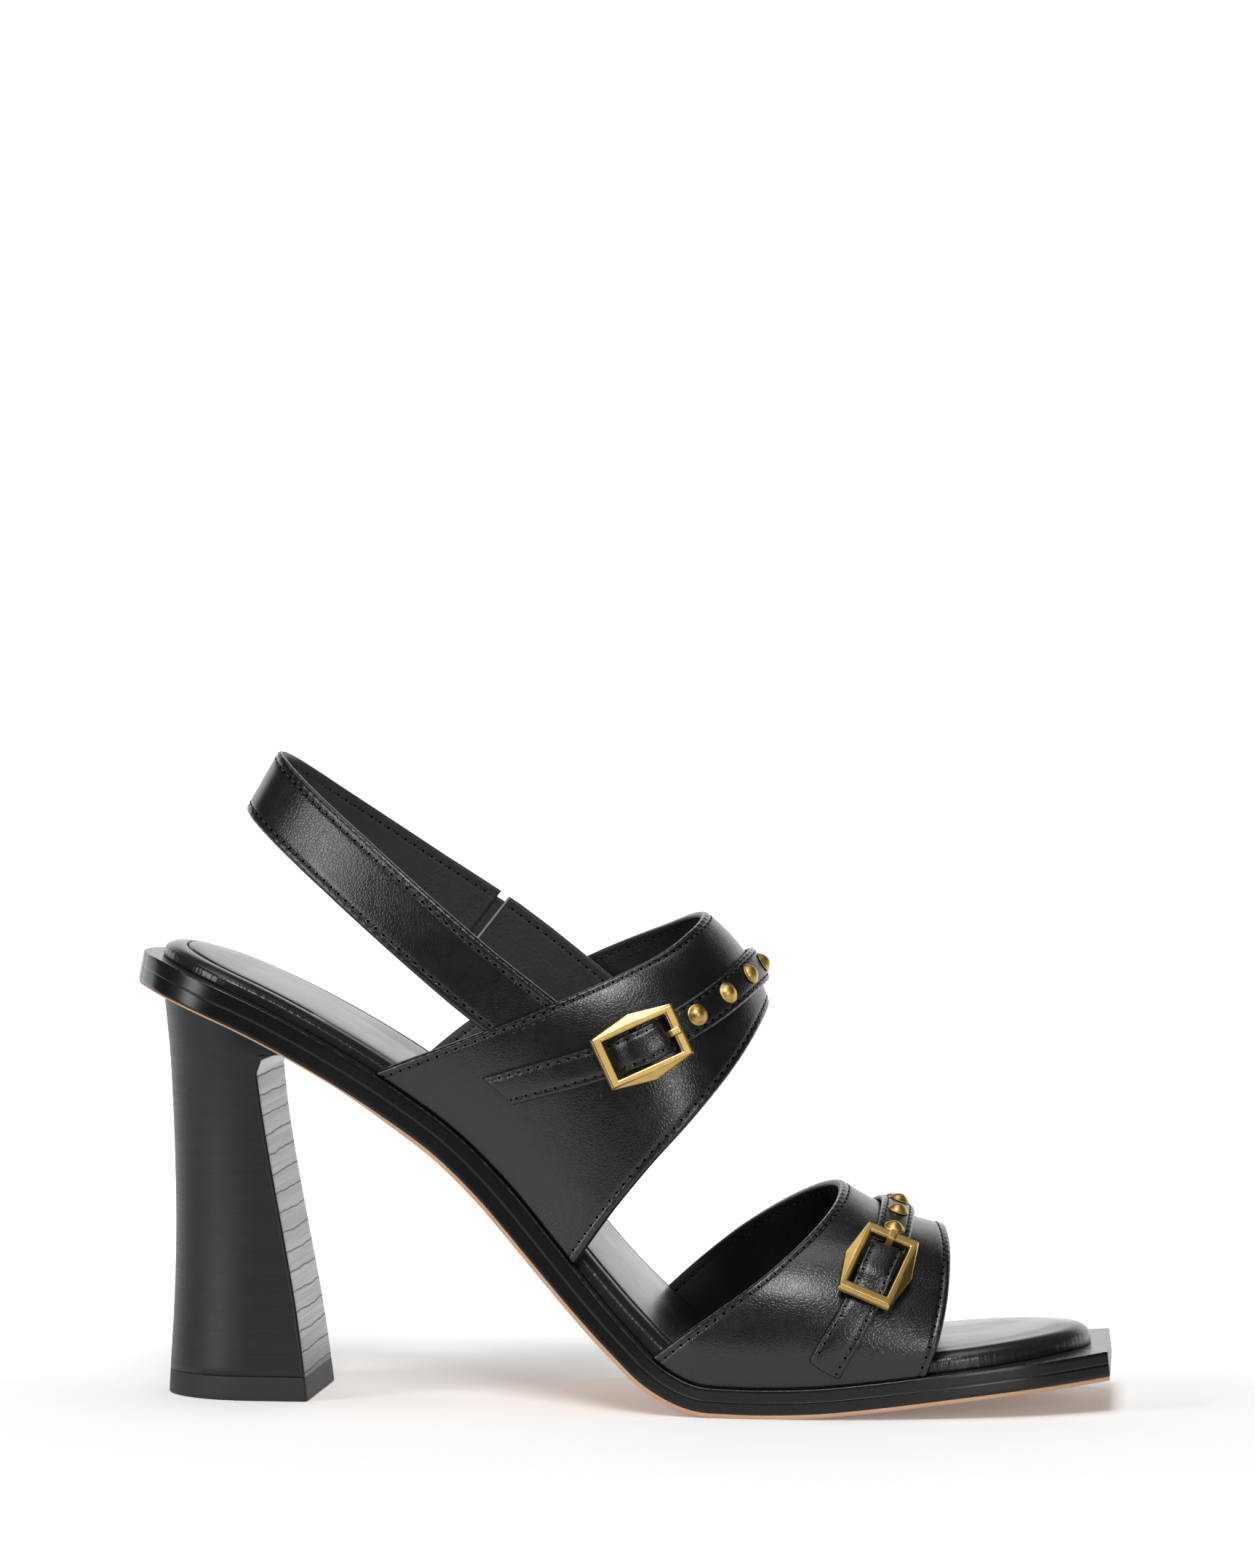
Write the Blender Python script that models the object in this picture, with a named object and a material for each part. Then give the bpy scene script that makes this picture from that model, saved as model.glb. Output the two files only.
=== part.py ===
"""Block heel sandal with a slingback, a right shoe.

Tables and lengths are in millimetres. +X runs to the toe, +Y to the inner side of the foot and +Z up.
The sole is worked out along its spine, the line down the middle of the black edge's top face, and every
width is measured square to that line.
"""
import math

import bmesh
import bpy
import numpy as np
from mathutils import Matrix

MM = 0.001

# Driving sizes

SOLE_THICK_HEEL = 6.9
SOLE_THICK_BALL = 5.6
SOLE_THIN_FROM = 105.0
SOLE_THIN_TO = 165.0
BOTTOM_THICK = 0.9
BOTTOM_INSET = 0.2
GAP = 0.3
PAD_HEIGHT_SEAT = 3.4
PAD_HEIGHT_TOE = 4.6
PAD_DOME = 1.0
BAND_THICK = 2.0
BAND_INSET = 1.1
FOOT_FADE = 0.18
STRAP_THICK = 1.6
STRAP_WIDE = 8.0
SLING_WIDE = 15.2
SLING_THICK = 2.2
LIFT_HEIGHT = 5.8
BUCKLE_LONG = 20.4
BUCKLE_WIDE = 12.4
BUCKLE_BULGE = 1.9
WINDOW_LONG = 15.4
WINDOW_WIDE = 9.2
BUCKLE_THICK = 2.0
MIDDLE_BAR = 1.1
BAR_WIDE = 1.2
PRONG_THICK = 1.1
PRONG_WIDE = 1.9
STUD_WIDE = 5.0
STUD_HIGH = 1.7

# Spine of the sole, back to toe: x, z
SPINE = (
    (-112.2, 102.2), (-105.8, 100.9), (-99.7, 98.8), (-91.2, 95.4), (-78.2, 89.3), (-69.0, 84.3),
    (-60.2, 79.1), (-49.1, 71.9), (-37.2, 63.3), (-25.6, 52.4), (-13.1, 38.2), (-5.0, 28.6),
    (4.8, 17.9), (12.0, 11.1), (20.0, 7.2), (28.0, 6.6), (38.0, 6.6), (47.0, 7.0), (60.0, 8.3),
    (75.0, 10.1), (90.1, 11.8), (111.4, 14.1),
)

# Outline of the sole: distance along the spine, outer side, inner side
SOLE_OUTLINE = (
    (0.0, 29.0, 26.5), (29.0, 29.0, 26.5), (46.0, 28.4, 25.6), (69.0, 27.0, 24.0), (95.0, 27.4, 24.2),
    (125.0, 31.6, 29.0), (154.0, 36.4, 35.4), (176.0, 38.4, 38.8), (196.0, 38.6, 40.0),
    (216.0, 36.6, 38.6), (231.0, 33.2, 35.4), (244.0, 28.4, 31.0), (257.6, 19.6, 25.0),
)
SEAT_ROUND = 26.0
TOE_SKEW = 0.045
TOE_SKEW_FROM = 232.0

# Outline of the footbed: distance along the spine, outer side, inner side
PAD_OUTLINE = (
    (4.6, 25.2, 22.7), (29.0, 25.2, 22.7), (46.0, 24.6, 21.8), (69.0, 23.2, 20.3), (95.0, 23.6, 20.5),
    (125.0, 27.8, 25.2), (154.0, 32.4, 31.6), (176.0, 34.2, 34.8), (196.0, 34.2, 35.8),
    (216.0, 32.0, 34.2), (231.0, 29.2, 31.6), (244.0, 26.0, 29.0), (252.8, 23.0, 27.0),
)
PAD_SEAT_ROUND = 22.0
PAD_TOE_ROUND = 30.0

# Heel block: height, back face, breast, half width
HEEL = (
    (0.0, -106.4, -71.1, 19.4), (6.0, -106.1, -71.8, 19.2), (20.0, -105.3, -73.7, 18.5),
    (38.0, -104.8, -76.9, 17.8), (54.0, -105.0, -79.8, 17.8), (66.0, -105.4, -81.7, 18.3),
    (75.0, -105.8, -82.8, 19.2), (78.2, -106.0, -81.6, 19.8), (79.4, -106.1, -78.6, 20.1),
    (79.8, -106.1, -69.0, 20.2), (110.0, -109.0, -60.0, 23.0),
)
HEEL_MIDDLE = -2.3
HEEL_ROUND = 22.0

# Edges of the instep band, outer side to inner side over the foot: x, y, z
INSTEP_REAR = (
    (-54.5, -25.8, 76.0), (-39.9, -29.8, 81.8), (-19.0, -32.0, 90.3), (-3.2, -29.6, 97.2),
    (10.4, -21.5, 103.8), (16.8, -10.5, 108.8), (18.4, 2.0, 111.7), (14.5, 12.5, 111.0),
    (6.5, 21.2, 107.8), (-5.0, 27.4, 103.1), (-24.7, 29.8, 93.8), (-40.0, 27.6, 85.6),
    (-52.0, 23.0, 74.6),
)
INSTEP_MIDDLE = (
    (-31.6, -26.3, 59.0), (-21.0, -31.0, 68.0), (-6.0, -33.8, 77.5), (6.5, -32.0, 86.0),
    (18.0, -24.5, 94.5), (25.0, -12.0, 100.4), (27.1, 2.0, 102.1), (23.8, 13.5, 100.0),
    (16.0, 23.5, 93.8), (5.5, 29.5, 86.0), (-9.0, 30.6, 76.0), (-21.0, 28.0, 66.0), (-31.0, 23.2, 58.4),
)
INSTEP_FRONT = (
    (-8.9, -30.9, 34.4), (0.5, -33.6, 46.2), (9.6, -33.8, 56.6), (19.0, -31.0, 67.0),
    (27.4, -22.8, 77.8), (32.6, -11.0, 87.2), (33.4, 0.0, 90.6), (29.4, 11.0, 88.4), (21.4, 21.0, 80.4),
    (12.4, 27.8, 69.8), (2.8, 31.0, 57.4), (-5.4, 31.2, 45.0), (-11.4, 28.0, 36.4),
)
INSTEP_FOOT_OUTER = (63.6, 126.4)
INSTEP_FOOT_INNER = (66.6, 122.6)

# Edges of the vamp band, outer side to inner side over the toes: x, y, z
VAMP_REAR = (
    (9.6, -35.0, 13.8), (15.6, -37.2, 18.2), (24.0, -37.5, 24.0), (32.0, -36.4, 29.8),
    (39.6, -31.5, 36.2), (46.0, -21.5, 42.6), (49.3, -9.0, 47.4), (48.9, 4.0, 50.0), (44.0, 15.4, 48.8),
    (35.5, 24.8, 44.6), (25.0, 32.0, 38.0), (14.0, 35.8, 29.8), (2.6, 34.0, 20.6),
)
VAMP_MIDDLE = (
    (41.2, -37.2, 7.6), (44.6, -39.2, 14.0), (49.4, -38.8, 21.0), (54.0, -35.8, 28.0),
    (58.0, -29.4, 34.6), (60.6, -20.0, 39.6), (61.4, -9.0, 42.6), (60.8, 4.0, 43.6), (57.8, 16.0, 41.8),
    (52.0, 27.0, 36.8), (45.0, 35.0, 28.6), (39.0, 39.2, 18.6), (34.0, 38.2, 7.4),
)
VAMP_FRONT = (
    (72.8, -34.9, 10.8), (74.6, -35.0, 16.6), (75.8, -32.2, 22.8), (76.3, -27.4, 28.6),
    (76.2, -20.6, 33.2), (75.6, -12.8, 36.6), (74.4, -4.4, 39.0), (73.0, 4.0, 40.0), (71.2, 15.0, 38.6),
    (68.8, 25.4, 33.8), (66.8, 33.4, 25.8), (65.8, 37.6, 16.6), (65.4, 37.4, 9.6),
)
VAMP_FOOT_OUTER = (153.8, 218.2)
VAMP_FOOT_INNER = (144.6, 211.0)

# Slingback, seen square to its width: distance back from the instep, sideways
SLING_PATH = (
    (61.0, -30.6), (72.0, -31.0), (84.0, -31.2), (97.0, -30.4), (110.0, -28.2), (123.0, -24.6),
    (135.0, -19.8), (145.0, -14.0), (151.6, -7.6), (153.9, -0.6), (152.2, 6.2), (146.0, 12.6),
    (136.5, 18.2), (124.5, 22.8), (111.0, 26.0), (98.0, 27.6), (84.0, 28.0), (72.0, 27.8), (61.0, 27.2),
)
SLING_SLOPE = 38.0
SLING_TOP = 67.2
SLING_INNER_RISE = 2.6
SLING_FLARE = 2.2

# Middle lines of the straps on their bands: across from outer to inner side, rear to front
INSTEP_STRAP = (
    (0.088, 0.352), (0.140, 0.420), (0.197, 0.500), (0.254, 0.572), (0.300, 0.602), (0.342, 0.625),
    (0.413, 0.652), (0.490, 0.650), (0.560, 0.630), (0.650, 0.600), (0.750, 0.560), (0.850, 0.530),
    (0.930, 0.510), (0.975, 0.500),
)
VAMP_STRAP = (
    (0.030, 0.606), (0.100, 0.600), (0.174, 0.588), (0.265, 0.572), (0.340, 0.560), (0.400, 0.546),
    (0.475, 0.530), (0.550, 0.515), (0.650, 0.500), (0.750, 0.500), (0.850, 0.500), (0.930, 0.500),
    (0.975, 0.500),
)
INSTEP_BUCKLE_U = 0.252
VAMP_BUCKLE_U = 0.240
INSTEP_STUDS_FROM = 48.4
VAMP_STUDS_FROM = 41.2
INSTEP_STUDS = 7
VAMP_STUDS = 6
STUD_PITCH = 10.2

# Rise of the tail over the buckle's middle bar: distance from the buckle, lift
TAIL_LIFT = (
    (-60.0, 0.0), (-10.0, 0.0), (-8.2, 0.0), (-5.2, 0.6), (-2.4, 1.7),
    (0.0, 2.0), (3.4, 2.0), (5.0, 1.8), (60.0, 1.8),
)
TAIL_END = 5.0
STUDDED_START = 7.6
RIDGE_LIFT = 0.9


def read_curve(at, rows, where):
    """Reads a smooth table: a cubic between rows whose slope at a row is the chord of its neighbours."""
    at = np.asarray(at, float)
    rows = np.asarray(rows, float)
    where = np.clip(np.atleast_1d(np.asarray(where, float)), at[0], at[-1])
    slope = np.gradient(rows, at, axis=0)
    i = np.clip(np.searchsorted(at, where, side="right") - 1, 0, len(at) - 2)
    step = (at[i + 1] - at[i])[:, None]
    f = (where - at[i])[:, None] / step
    from_start = (2 * f**3 - 3 * f**2 + 1) * rows[i] + (f**3 - 2 * f**2 + f) * step * slope[i]
    return from_start + (3 * f**2 - 2 * f**3) * rows[i + 1] + (f**3 - f**2) * step * slope[i + 1]


SMOOTHED = {}


def by_length(points, fractions):
    """Points at these fractions of the length of a smooth line through the given ones."""
    if points not in SMOOTHED:
        rows = np.array(points, float)
        chord = np.concatenate([[0], np.cumsum(np.linalg.norm(np.diff(rows, axis=0), axis=1))])
        fine = read_curve(chord, rows, np.linspace(0, chord[-1], 600))
        run = np.concatenate([[0], np.cumsum(np.linalg.norm(np.diff(fine, axis=0), axis=1))])
        SMOOTHED[points] = (fine, run)
    fine, run = SMOOTHED[points]
    wanted = np.asarray(fractions, float) * run[-1]
    return np.stack([np.interp(wanted, run, fine[:, k]) for k in range(fine.shape[1])], axis=-1)


SPINE_FINE = by_length(SPINE, np.linspace(0, 1, 1600))
SPINE_RUN = np.concatenate([[0], np.cumsum(np.linalg.norm(np.diff(SPINE_FINE, axis=0), axis=1))])
SPINE_TANGENT = np.gradient(SPINE_FINE, SPINE_RUN, axis=0)
SPINE_LENGTH = SPINE_RUN[-1]


def on_spine(s, up=0.0):
    """x and z at a distance along the spine, raised square to it."""
    x = np.interp(s, SPINE_RUN, SPINE_FINE[:, 0])
    z = np.interp(s, SPINE_RUN, SPINE_FINE[:, 1])
    tx = np.interp(s, SPINE_RUN, SPINE_TANGENT[:, 0])
    tz = np.interp(s, SPINE_RUN, SPINE_TANGENT[:, 1])
    long = np.hypot(tx, tz)
    return x - up * tz / long, z + up * tx / long


def rounded(distance, radius):
    """How far a rounded end has filled out at this distance from its tip."""
    f = np.clip(distance / radius, 0, 1)
    return np.sqrt(1 - (1 - f) ** 2)


def sole_sides(s):
    """Outer and inner half widths of the sole at a distance along the spine."""
    table = np.array(SOLE_OUTLINE)
    wide = read_curve(table[:, 0], table[:, 1:], s)
    return wide * rounded(s, SEAT_ROUND)[:, None]


def pad_sides(s):
    """Outer and inner half widths of the footbed, rounded at the seat and at the toe."""
    table = np.array(PAD_OUTLINE)
    wide = read_curve(table[:, 0], table[:, 1:], s)
    back = rounded(s - PAD_OUTLINE[0][0], PAD_SEAT_ROUND)
    front = rounded(PAD_OUTLINE[-1][0] - s, PAD_TOE_ROUND)
    return wide * (back * front)[:, None]


def ends_eased(start, stop, round_start, round_stop, between):
    """Stations along a piece, bunched by equal angles where its ends are round."""
    turn = np.radians(np.arange(12, 90, 13))
    head = start + round_start * (1 - np.cos(turn))
    tail = stop - round_stop * (1 - np.cos(turn[::-1]))
    middle = np.arange(head[-1] + between, tail[0] - between * 0.4, between)
    return np.concatenate([head, middle, tail])


def material(name, finish):
    """A plain Principled material of a finish: colour, roughness and metal."""
    colour, rough, metal = finish
    made = bpy.data.materials.new(name)
    made.use_nodes = True
    shader = made.node_tree.nodes["Principled BSDF"]
    shader.inputs["Base Color"].default_value = (*colour, 1.0)
    shader.inputs["Roughness"].default_value = rough
    shader.inputs["Metallic"].default_value = metal
    return made


def put_in(name, points, faces, finish):
    """One named object from points in millimetres and its faces, all facing out."""
    mesh = bpy.data.meshes.new(name)
    mesh.from_pydata((np.asarray(points) * MM).tolist(), [], faces)
    made = bpy.data.objects.new(name, mesh)
    SANDAL.objects.link(made)
    mesh.materials.append(material(name, finish))
    work = bmesh.new()
    work.from_mesh(mesh)
    bmesh.ops.recalc_face_normals(work, faces=work.faces)
    work.to_mesh(mesh)
    work.free()
    return made


def slab(name, top, bottom, finish):
    """A closed piece between two grids of the same rows and columns, walled round their borders."""
    rows, columns = top.shape[:2]
    points = np.concatenate([top.reshape(-1, 3), bottom.reshape(-1, 3)])
    below = rows * columns
    faces = []
    for i in range(rows - 1):
        for j in range(columns - 1):
            a = i * columns + j
            quad = (a, a + 1, a + columns + 1, a + columns)
            faces.append(quad)
            faces.append(tuple(below + k for k in reversed(quad)))
    border = list(range(columns))
    border += [i * columns + columns - 1 for i in range(1, rows)]
    border += [(rows - 1) * columns + j for j in range(columns - 2, -1, -1)]
    border += [i * columns for i in range(rows - 2, 0, -1)]
    for a, b in zip(border, border[1:] + border[:1]):
        faces.append((b, a, below + a, below + b))
    return put_in(name, points, faces, finish)


def loft(name, sections, finish):
    """A closed piece through loops of equal count, capped at both ends."""
    count, around = sections.shape[:2]
    faces = []
    for i in range(count - 1):
        for j in range(around):
            k = (j + 1) % around
            faces.append((i * around + j, i * around + k, (i + 1) * around + k, (i + 1) * around + j))
    faces.append(tuple(range(around)))
    faces.append(tuple((count - 1) * around + j for j in range(around)))
    return put_in(name, sections.reshape(-1, 3), faces, finish)


def cut(target, cutter, operation="DIFFERENCE"):
    """Adds an exact Boolean with a hidden object kept among the cutters."""
    modifier = target.modifiers.new(operation.title(), "BOOLEAN")
    modifier.operation = operation
    modifier.object = cutter
    modifier.solver = "EXACT"
    cutter.hide_render = True
    cutter.display_type = "WIRE"
    SANDAL.objects.unlink(cutter)
    CUTTERS.objects.link(cutter)


# Scene

for old in list(bpy.data.objects):
    bpy.data.objects.remove(old)
SANDAL = bpy.data.collections.new("block_heel_sandal")
CUTTERS = bpy.data.collections.new("cutters")
bpy.context.scene.collection.children.link(SANDAL)
bpy.context.scene.collection.children.link(CUTTERS)

# Finishes: colour, roughness, metal
LEATHER = ((0.012, 0.012, 0.013), 0.35, 0.0)
LINING = ((0.020, 0.020, 0.022), 0.45, 0.0)
EDGE = ((0.016, 0.016, 0.018), 0.55, 0.0)
TAN = ((0.43, 0.26, 0.16), 0.60, 0.0)
STACK = ((0.018, 0.018, 0.019), 0.45, 0.0)
RUBBER = ((0.010, 0.010, 0.011), 0.70, 0.0)
BRASS = ((0.62, 0.42, 0.14), 0.30, 1.0)


# Sole: the black edge and the tan bottom under it

def sole_thick(s):
    """Thickness of the black edge, thinner from the ball forward."""
    f = np.clip((s - SOLE_THIN_FROM) / (SOLE_THIN_TO - SOLE_THIN_FROM), 0, 1)
    return SOLE_THICK_HEEL + (SOLE_THICK_BALL - SOLE_THICK_HEEL) * f * f * (3 - 2 * f)


def sole_grid(s, up, inset=0.0, columns=7):
    """Rows across the sole at these distances, raised by up, the sides pulled in by inset."""
    outer, inner = np.maximum(sole_sides(s) - inset, 0.5).T
    x, z = on_spine(s, up)
    across = (1 - np.cos(np.linspace(0, math.pi, columns))) / 2
    y = -outer[:, None] + (outer + inner)[:, None] * across
    turned = np.clip((s - TOE_SKEW_FROM) / (SPINE_LENGTH - TOE_SKEW_FROM), 0, 1) * TOE_SKEW
    x = x[:, None] - turned[:, None] * (y - y[:, :1])
    return np.stack([x, y, np.repeat(z[:, None], columns, 1)], axis=-1)


SOLE_S = ends_eased(0.0, SPINE_LENGTH, SEAT_ROUND, 0.0, 7.0)
SOLE_S = np.unique(np.round(np.concatenate([SOLE_S, np.arange(142.0, 172.0, 3.0)]), 3))
slab("midsole", sole_grid(SOLE_S, 0.0), sole_grid(SOLE_S, -sole_thick(SOLE_S)), EDGE)

bottom_top = sole_grid(SOLE_S, -sole_thick(SOLE_S) - GAP, BOTTOM_INSET, 3)
bottom_under = sole_grid(SOLE_S, -sole_thick(SOLE_S) - GAP - BOTTOM_THICK, BOTTOM_INSET, 3)
bottom_under[..., 2] = np.maximum(bottom_under[..., 2], 0.0)
slab("outsole", bottom_top, bottom_under, TAN)


# Footbed

def pad_rows(s):
    """The footbed's wrapped top, side to side, rising from its seam with the sole."""
    outer, inner = pad_sides(s).T
    blend = np.clip((s - SOLE_THIN_FROM) / (SOLE_THIN_TO - SOLE_THIN_FROM), 0, 1)
    tall = PAD_HEIGHT_SEAT + (PAD_HEIGHT_TOE - PAD_HEIGHT_SEAT) * blend
    from_end = np.minimum(s - PAD_OUTLINE[0][0], PAD_OUTLINE[-1][0] - s)
    tall = tall * (0.35 + 0.65 * rounded(from_end, 6.0))
    rows = []
    for k in range(len(s)):
        wide_out = outer[k]
        wide_in = inner[k]
        whole = wide_out + wide_in
        soft = min(3.0, whole * 0.2)
        ys = [0.0, 0.0, 0.22 * soft, soft, whole * 0.3, whole * 0.5, whole * 0.7, whole - soft]
        ys += [whole - 0.22 * soft, whole, whole]
        lift = [0.12, 0.5, 0.84, 1.0, 1.0, 1.0, 1.0, 1.0, 0.84, 0.5, 0.12]
        dome = [0.0, 0.0, 0.0, 0.0, 0.8, 1.0, 0.8, 0.0, 0.0, 0.0, 0.0]
        up = GAP + np.array(lift) * tall[k] + np.array(dome) * PAD_DOME * min(1.0, tall[k] / PAD_HEIGHT_SEAT)
        x, z = on_spine(np.full(len(ys), s[k]), up)
        rows.append(np.stack([x, np.array(ys) - wide_out, z], axis=-1))
    return np.array(rows)


PAD_S = ends_eased(PAD_OUTLINE[0][0], PAD_OUTLINE[-1][0], PAD_SEAT_ROUND, PAD_TOE_ROUND, 7.0)
pad_top = pad_rows(PAD_S)
pad_x, pad_z = on_spine(PAD_S, GAP)
pad_under = pad_top.copy()
pad_under[..., 0] = pad_x[:, None]
pad_under[..., 2] = pad_z[:, None]
pad_under[:, 1, 1] += 0.15
pad_under[:, -2, 1] -= 0.15
slab("insole", pad_top, pad_under, LINING)


# Heel block and top lift

def heel_loop(height):
    """The heel's outline at a height: straight breast, sides, half an ellipse at the back."""
    table = np.array(HEEL)
    back, breast, half = np.array([np.interp(height, table[:, 0], table[:, k]) for k in (1, 2, 3)])
    turn = np.radians(np.linspace(0, 180, 13))
    x = back + HEEL_ROUND * (1 - np.sin(turn))
    y = HEEL_MIDDLE - half * np.cos(turn)
    x = np.concatenate([[breast], x, [breast]])
    y = np.concatenate([[HEEL_MIDDLE - half], y, [HEEL_MIDDLE + half]])
    return np.stack([x, y, np.full(len(x), height)], axis=-1)


loft("toplift", np.array([heel_loop(h) for h in (0.0, LIFT_HEIGHT - GAP)]), RUBBER)
block_heights = [LIFT_HEIGHT] + [row[0] for row in HEEL[2:]]
heel = loft("heel", np.array([heel_loop(h) for h in block_heights]), STACK)

UNDER_S = np.linspace(0, SPINE_LENGTH * 0.45, 24)
x_low, z_low = on_spine(UNDER_S, -sole_thick(UNDER_S) - BOTTOM_THICK - 2 * GAP)
x_low[0] -= 20.0
z_low[0] += 1.0
profile = [(x_low[k], z_low[k]) for k in range(len(UNDER_S))] + [(x_low[-1], 140.0), (x_low[0], 140.0)]
seat_cutter = loft("cut_heel_seat", np.array([[(x, y, z) for x, z in profile] for y in (-50.0, 50.0)]), STACK)
cut(heel, seat_cutter)


# Bands

def band_surface(edges, u, v):
    """Points of a band: across the foot by u, from its rear edge to its front edge by v."""
    lines = [by_length(edge, u) for edge in edges]
    weights = (2 * (v - 0.5) * (v - 1), 4 * v * (1 - v), 2 * v * (v - 0.5))
    return sum(w[None, :, None] * line[:, None, :] for w, line in zip(weights, lines))


def seat_feet(grid, u, v, foot, sign):
    """Moves the band's end rows onto the sole just inside its edge, fading out above."""
    s = foot[0] + (foot[1] - foot[0]) * v
    side = sole_sides(s)[:, 0 if sign < 0 else 1] - BAND_INSET
    x, z = on_spine(s, GAP)
    wanted = np.stack([x, sign * side, z], axis=-1)
    edge = 0 if sign < 0 else -1
    off = wanted - grid[edge]
    away = u if sign < 0 else 1 - u
    fade = np.clip(1 - away / FOOT_FADE, 0, 1) ** 1.5
    return grid + fade[:, None, None] * off[None]


def normals(grid):
    """Unit normals of a grid, pointing away from the foot."""
    du = np.gradient(grid, axis=0)
    dv = np.gradient(grid, axis=1)
    n = np.cross(dv, du)
    return n / np.linalg.norm(n, axis=-1, keepdims=True)


def band_grid(edges, feet, u, v):
    grid = band_surface(edges, u, v)
    grid = seat_feet(grid, u, v, feet[0], -1)
    return seat_feet(grid, u, v, feet[1], 1)


def inner_side(grid, thick):
    """The grid moved in by the leather's thickness, its two feet kept on the sole."""
    n = normals(grid)
    for end in (0, -1):
        n[end] = (0, 0, 0)
        n[end, :, 1] = -1 if end == 0 else 1
    return grid - thick * n


INSTEP_EDGES = (INSTEP_REAR, INSTEP_MIDDLE, INSTEP_FRONT)
INSTEP_FEET = (INSTEP_FOOT_OUTER, INSTEP_FOOT_INNER)
VAMP_EDGES = (VAMP_REAR, VAMP_MIDDLE, VAMP_FRONT)
VAMP_FEET = (VAMP_FOOT_OUTER, VAMP_FOOT_INNER)
BAND_U = np.linspace(0, 1, 41)
BAND_V = np.linspace(0, 1, 9)

instep_out = band_grid(INSTEP_EDGES, INSTEP_FEET, BAND_U, BAND_V)
upper = slab("upper_instep", instep_out, inner_side(instep_out, BAND_THICK), LEATHER)
vamp_out = band_grid(VAMP_EDGES, VAMP_FEET, BAND_U, BAND_V)
slab("vamp_band", vamp_out, inner_side(vamp_out, BAND_THICK), LEATHER)


# Slingback, joined to the instep band inside its rear edge

def sling_grid(side_shift):
    """The strap's face: its path swept along its width, moved sideways by side_shift."""
    fractions = np.linspace(0, 1, 49)
    path = by_length(SLING_PATH, fractions)
    tangent = np.gradient(path, axis=0)
    tangent = tangent / np.linalg.norm(tangent, axis=1, keepdims=True)
    path = path + side_shift * np.stack([tangent[:, 1], -tangent[:, 0]], axis=-1)
    slope = math.radians(SLING_SLOPE)
    away = np.array([-math.cos(slope), 0.0, math.sin(slope)])
    across = np.array([math.sin(slope), 0.0, math.cos(slope)])
    rise = SLING_INNER_RISE * np.clip((path[:, 1] - 8) / 20, 0, 1) * np.clip((150 - path[:, 0]) / 60, 0, 1)
    rows = []
    for k in range(len(fractions)):
        at = path[k, 0] * away + np.array([0.0, path[k, 1], 0.0])
        top = SLING_TOP + rise[k]
        flare = SLING_FLARE * np.clip((path[k, 0] - 120) / 34, 0, 1)
        row = [at + across * (top - SLING_WIDE * f) + away * flare * (0.5 - f) for f in np.linspace(0, 1, 5)]
        rows.append(row)
    return np.array(rows)


sling = slab("slingback", sling_grid(0.0), sling_grid(-SLING_THICK), LEATHER)
cut(upper, sling, "UNION")


# Straps, laid on their bands

def band_points(edges, feet, u, v):
    """Points of a band at pairs of u and v."""
    u = np.asarray(u, float)
    v = np.asarray(v, float)
    lines = [by_length(edge, u) for edge in edges]
    weights = (2 * (v - 0.5) * (v - 1), 4 * v * (1 - v), 2 * v * (v - 0.5))
    at = sum(w[:, None] * line for w, line in zip(weights, lines))
    for foot, sign, end, away in ((feet[0], -1, 0.0, u), (feet[1], 1, 1.0, 1 - u)):
        s = foot[0] + (foot[1] - foot[0]) * v
        side = sole_sides(s)[:, 0 if sign < 0 else 1] - BAND_INSET
        x, z = on_spine(s, GAP)
        ends = sum(w[:, None] * by_length(edge, [end]) for w, edge in zip(weights, edges))
        off = np.stack([x, sign * side, z], axis=-1) - ends
        at = at + (np.clip(1 - away / FOOT_FADE, 0, 1) ** 1.5)[:, None] * off
    return at


def band_frame(band, u, v, step=0.004):
    """Point, slopes by u and by v, and outward normal of a band at pairs of u and v."""
    edges, feet = band
    u = np.clip(np.asarray(u, float), step, 1 - step)
    v = np.asarray(v, float)
    at = band_points(edges, feet, u, v)
    by_u = (band_points(edges, feet, u + step, v) - band_points(edges, feet, u - step, v)) / (2 * step)
    by_v = (band_points(edges, feet, u, v + step) - band_points(edges, feet, u, v - step)) / (2 * step)
    n = np.cross(by_v, by_u)
    return at, by_u, by_v, n / np.linalg.norm(n, axis=1, keepdims=True)


def beside(band, u, v, shift):
    """The u and v reached from pairs of u and v by a small shift along the surface."""
    _, by_u, by_v, _ = band_frame(band, u, v)
    uu = (by_u * by_u).sum(1)
    vv = (by_v * by_v).sum(1)
    uv = (by_u * by_v).sum(1)
    su = (shift * by_u).sum(1)
    sv = (shift * by_v).sum(1)
    det = uu * vv - uv * uv
    return u + (su * vv - sv * uv) / det, v + (sv * uu - su * uv) / det


def strap_line(band, table):
    """A strap's middle line: distance along it, u and v, finely."""
    table = np.array(table)
    u = np.linspace(table[0, 0], table[-1, 0], 500)
    v = read_curve(table[:, 0], table[:, 1:], u)[:, 0]
    at = band_frame(band, u, v)[0]
    run = np.concatenate([[0], np.cumsum(np.linalg.norm(np.diff(at, axis=0), axis=1))])
    return run, u, v


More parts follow.
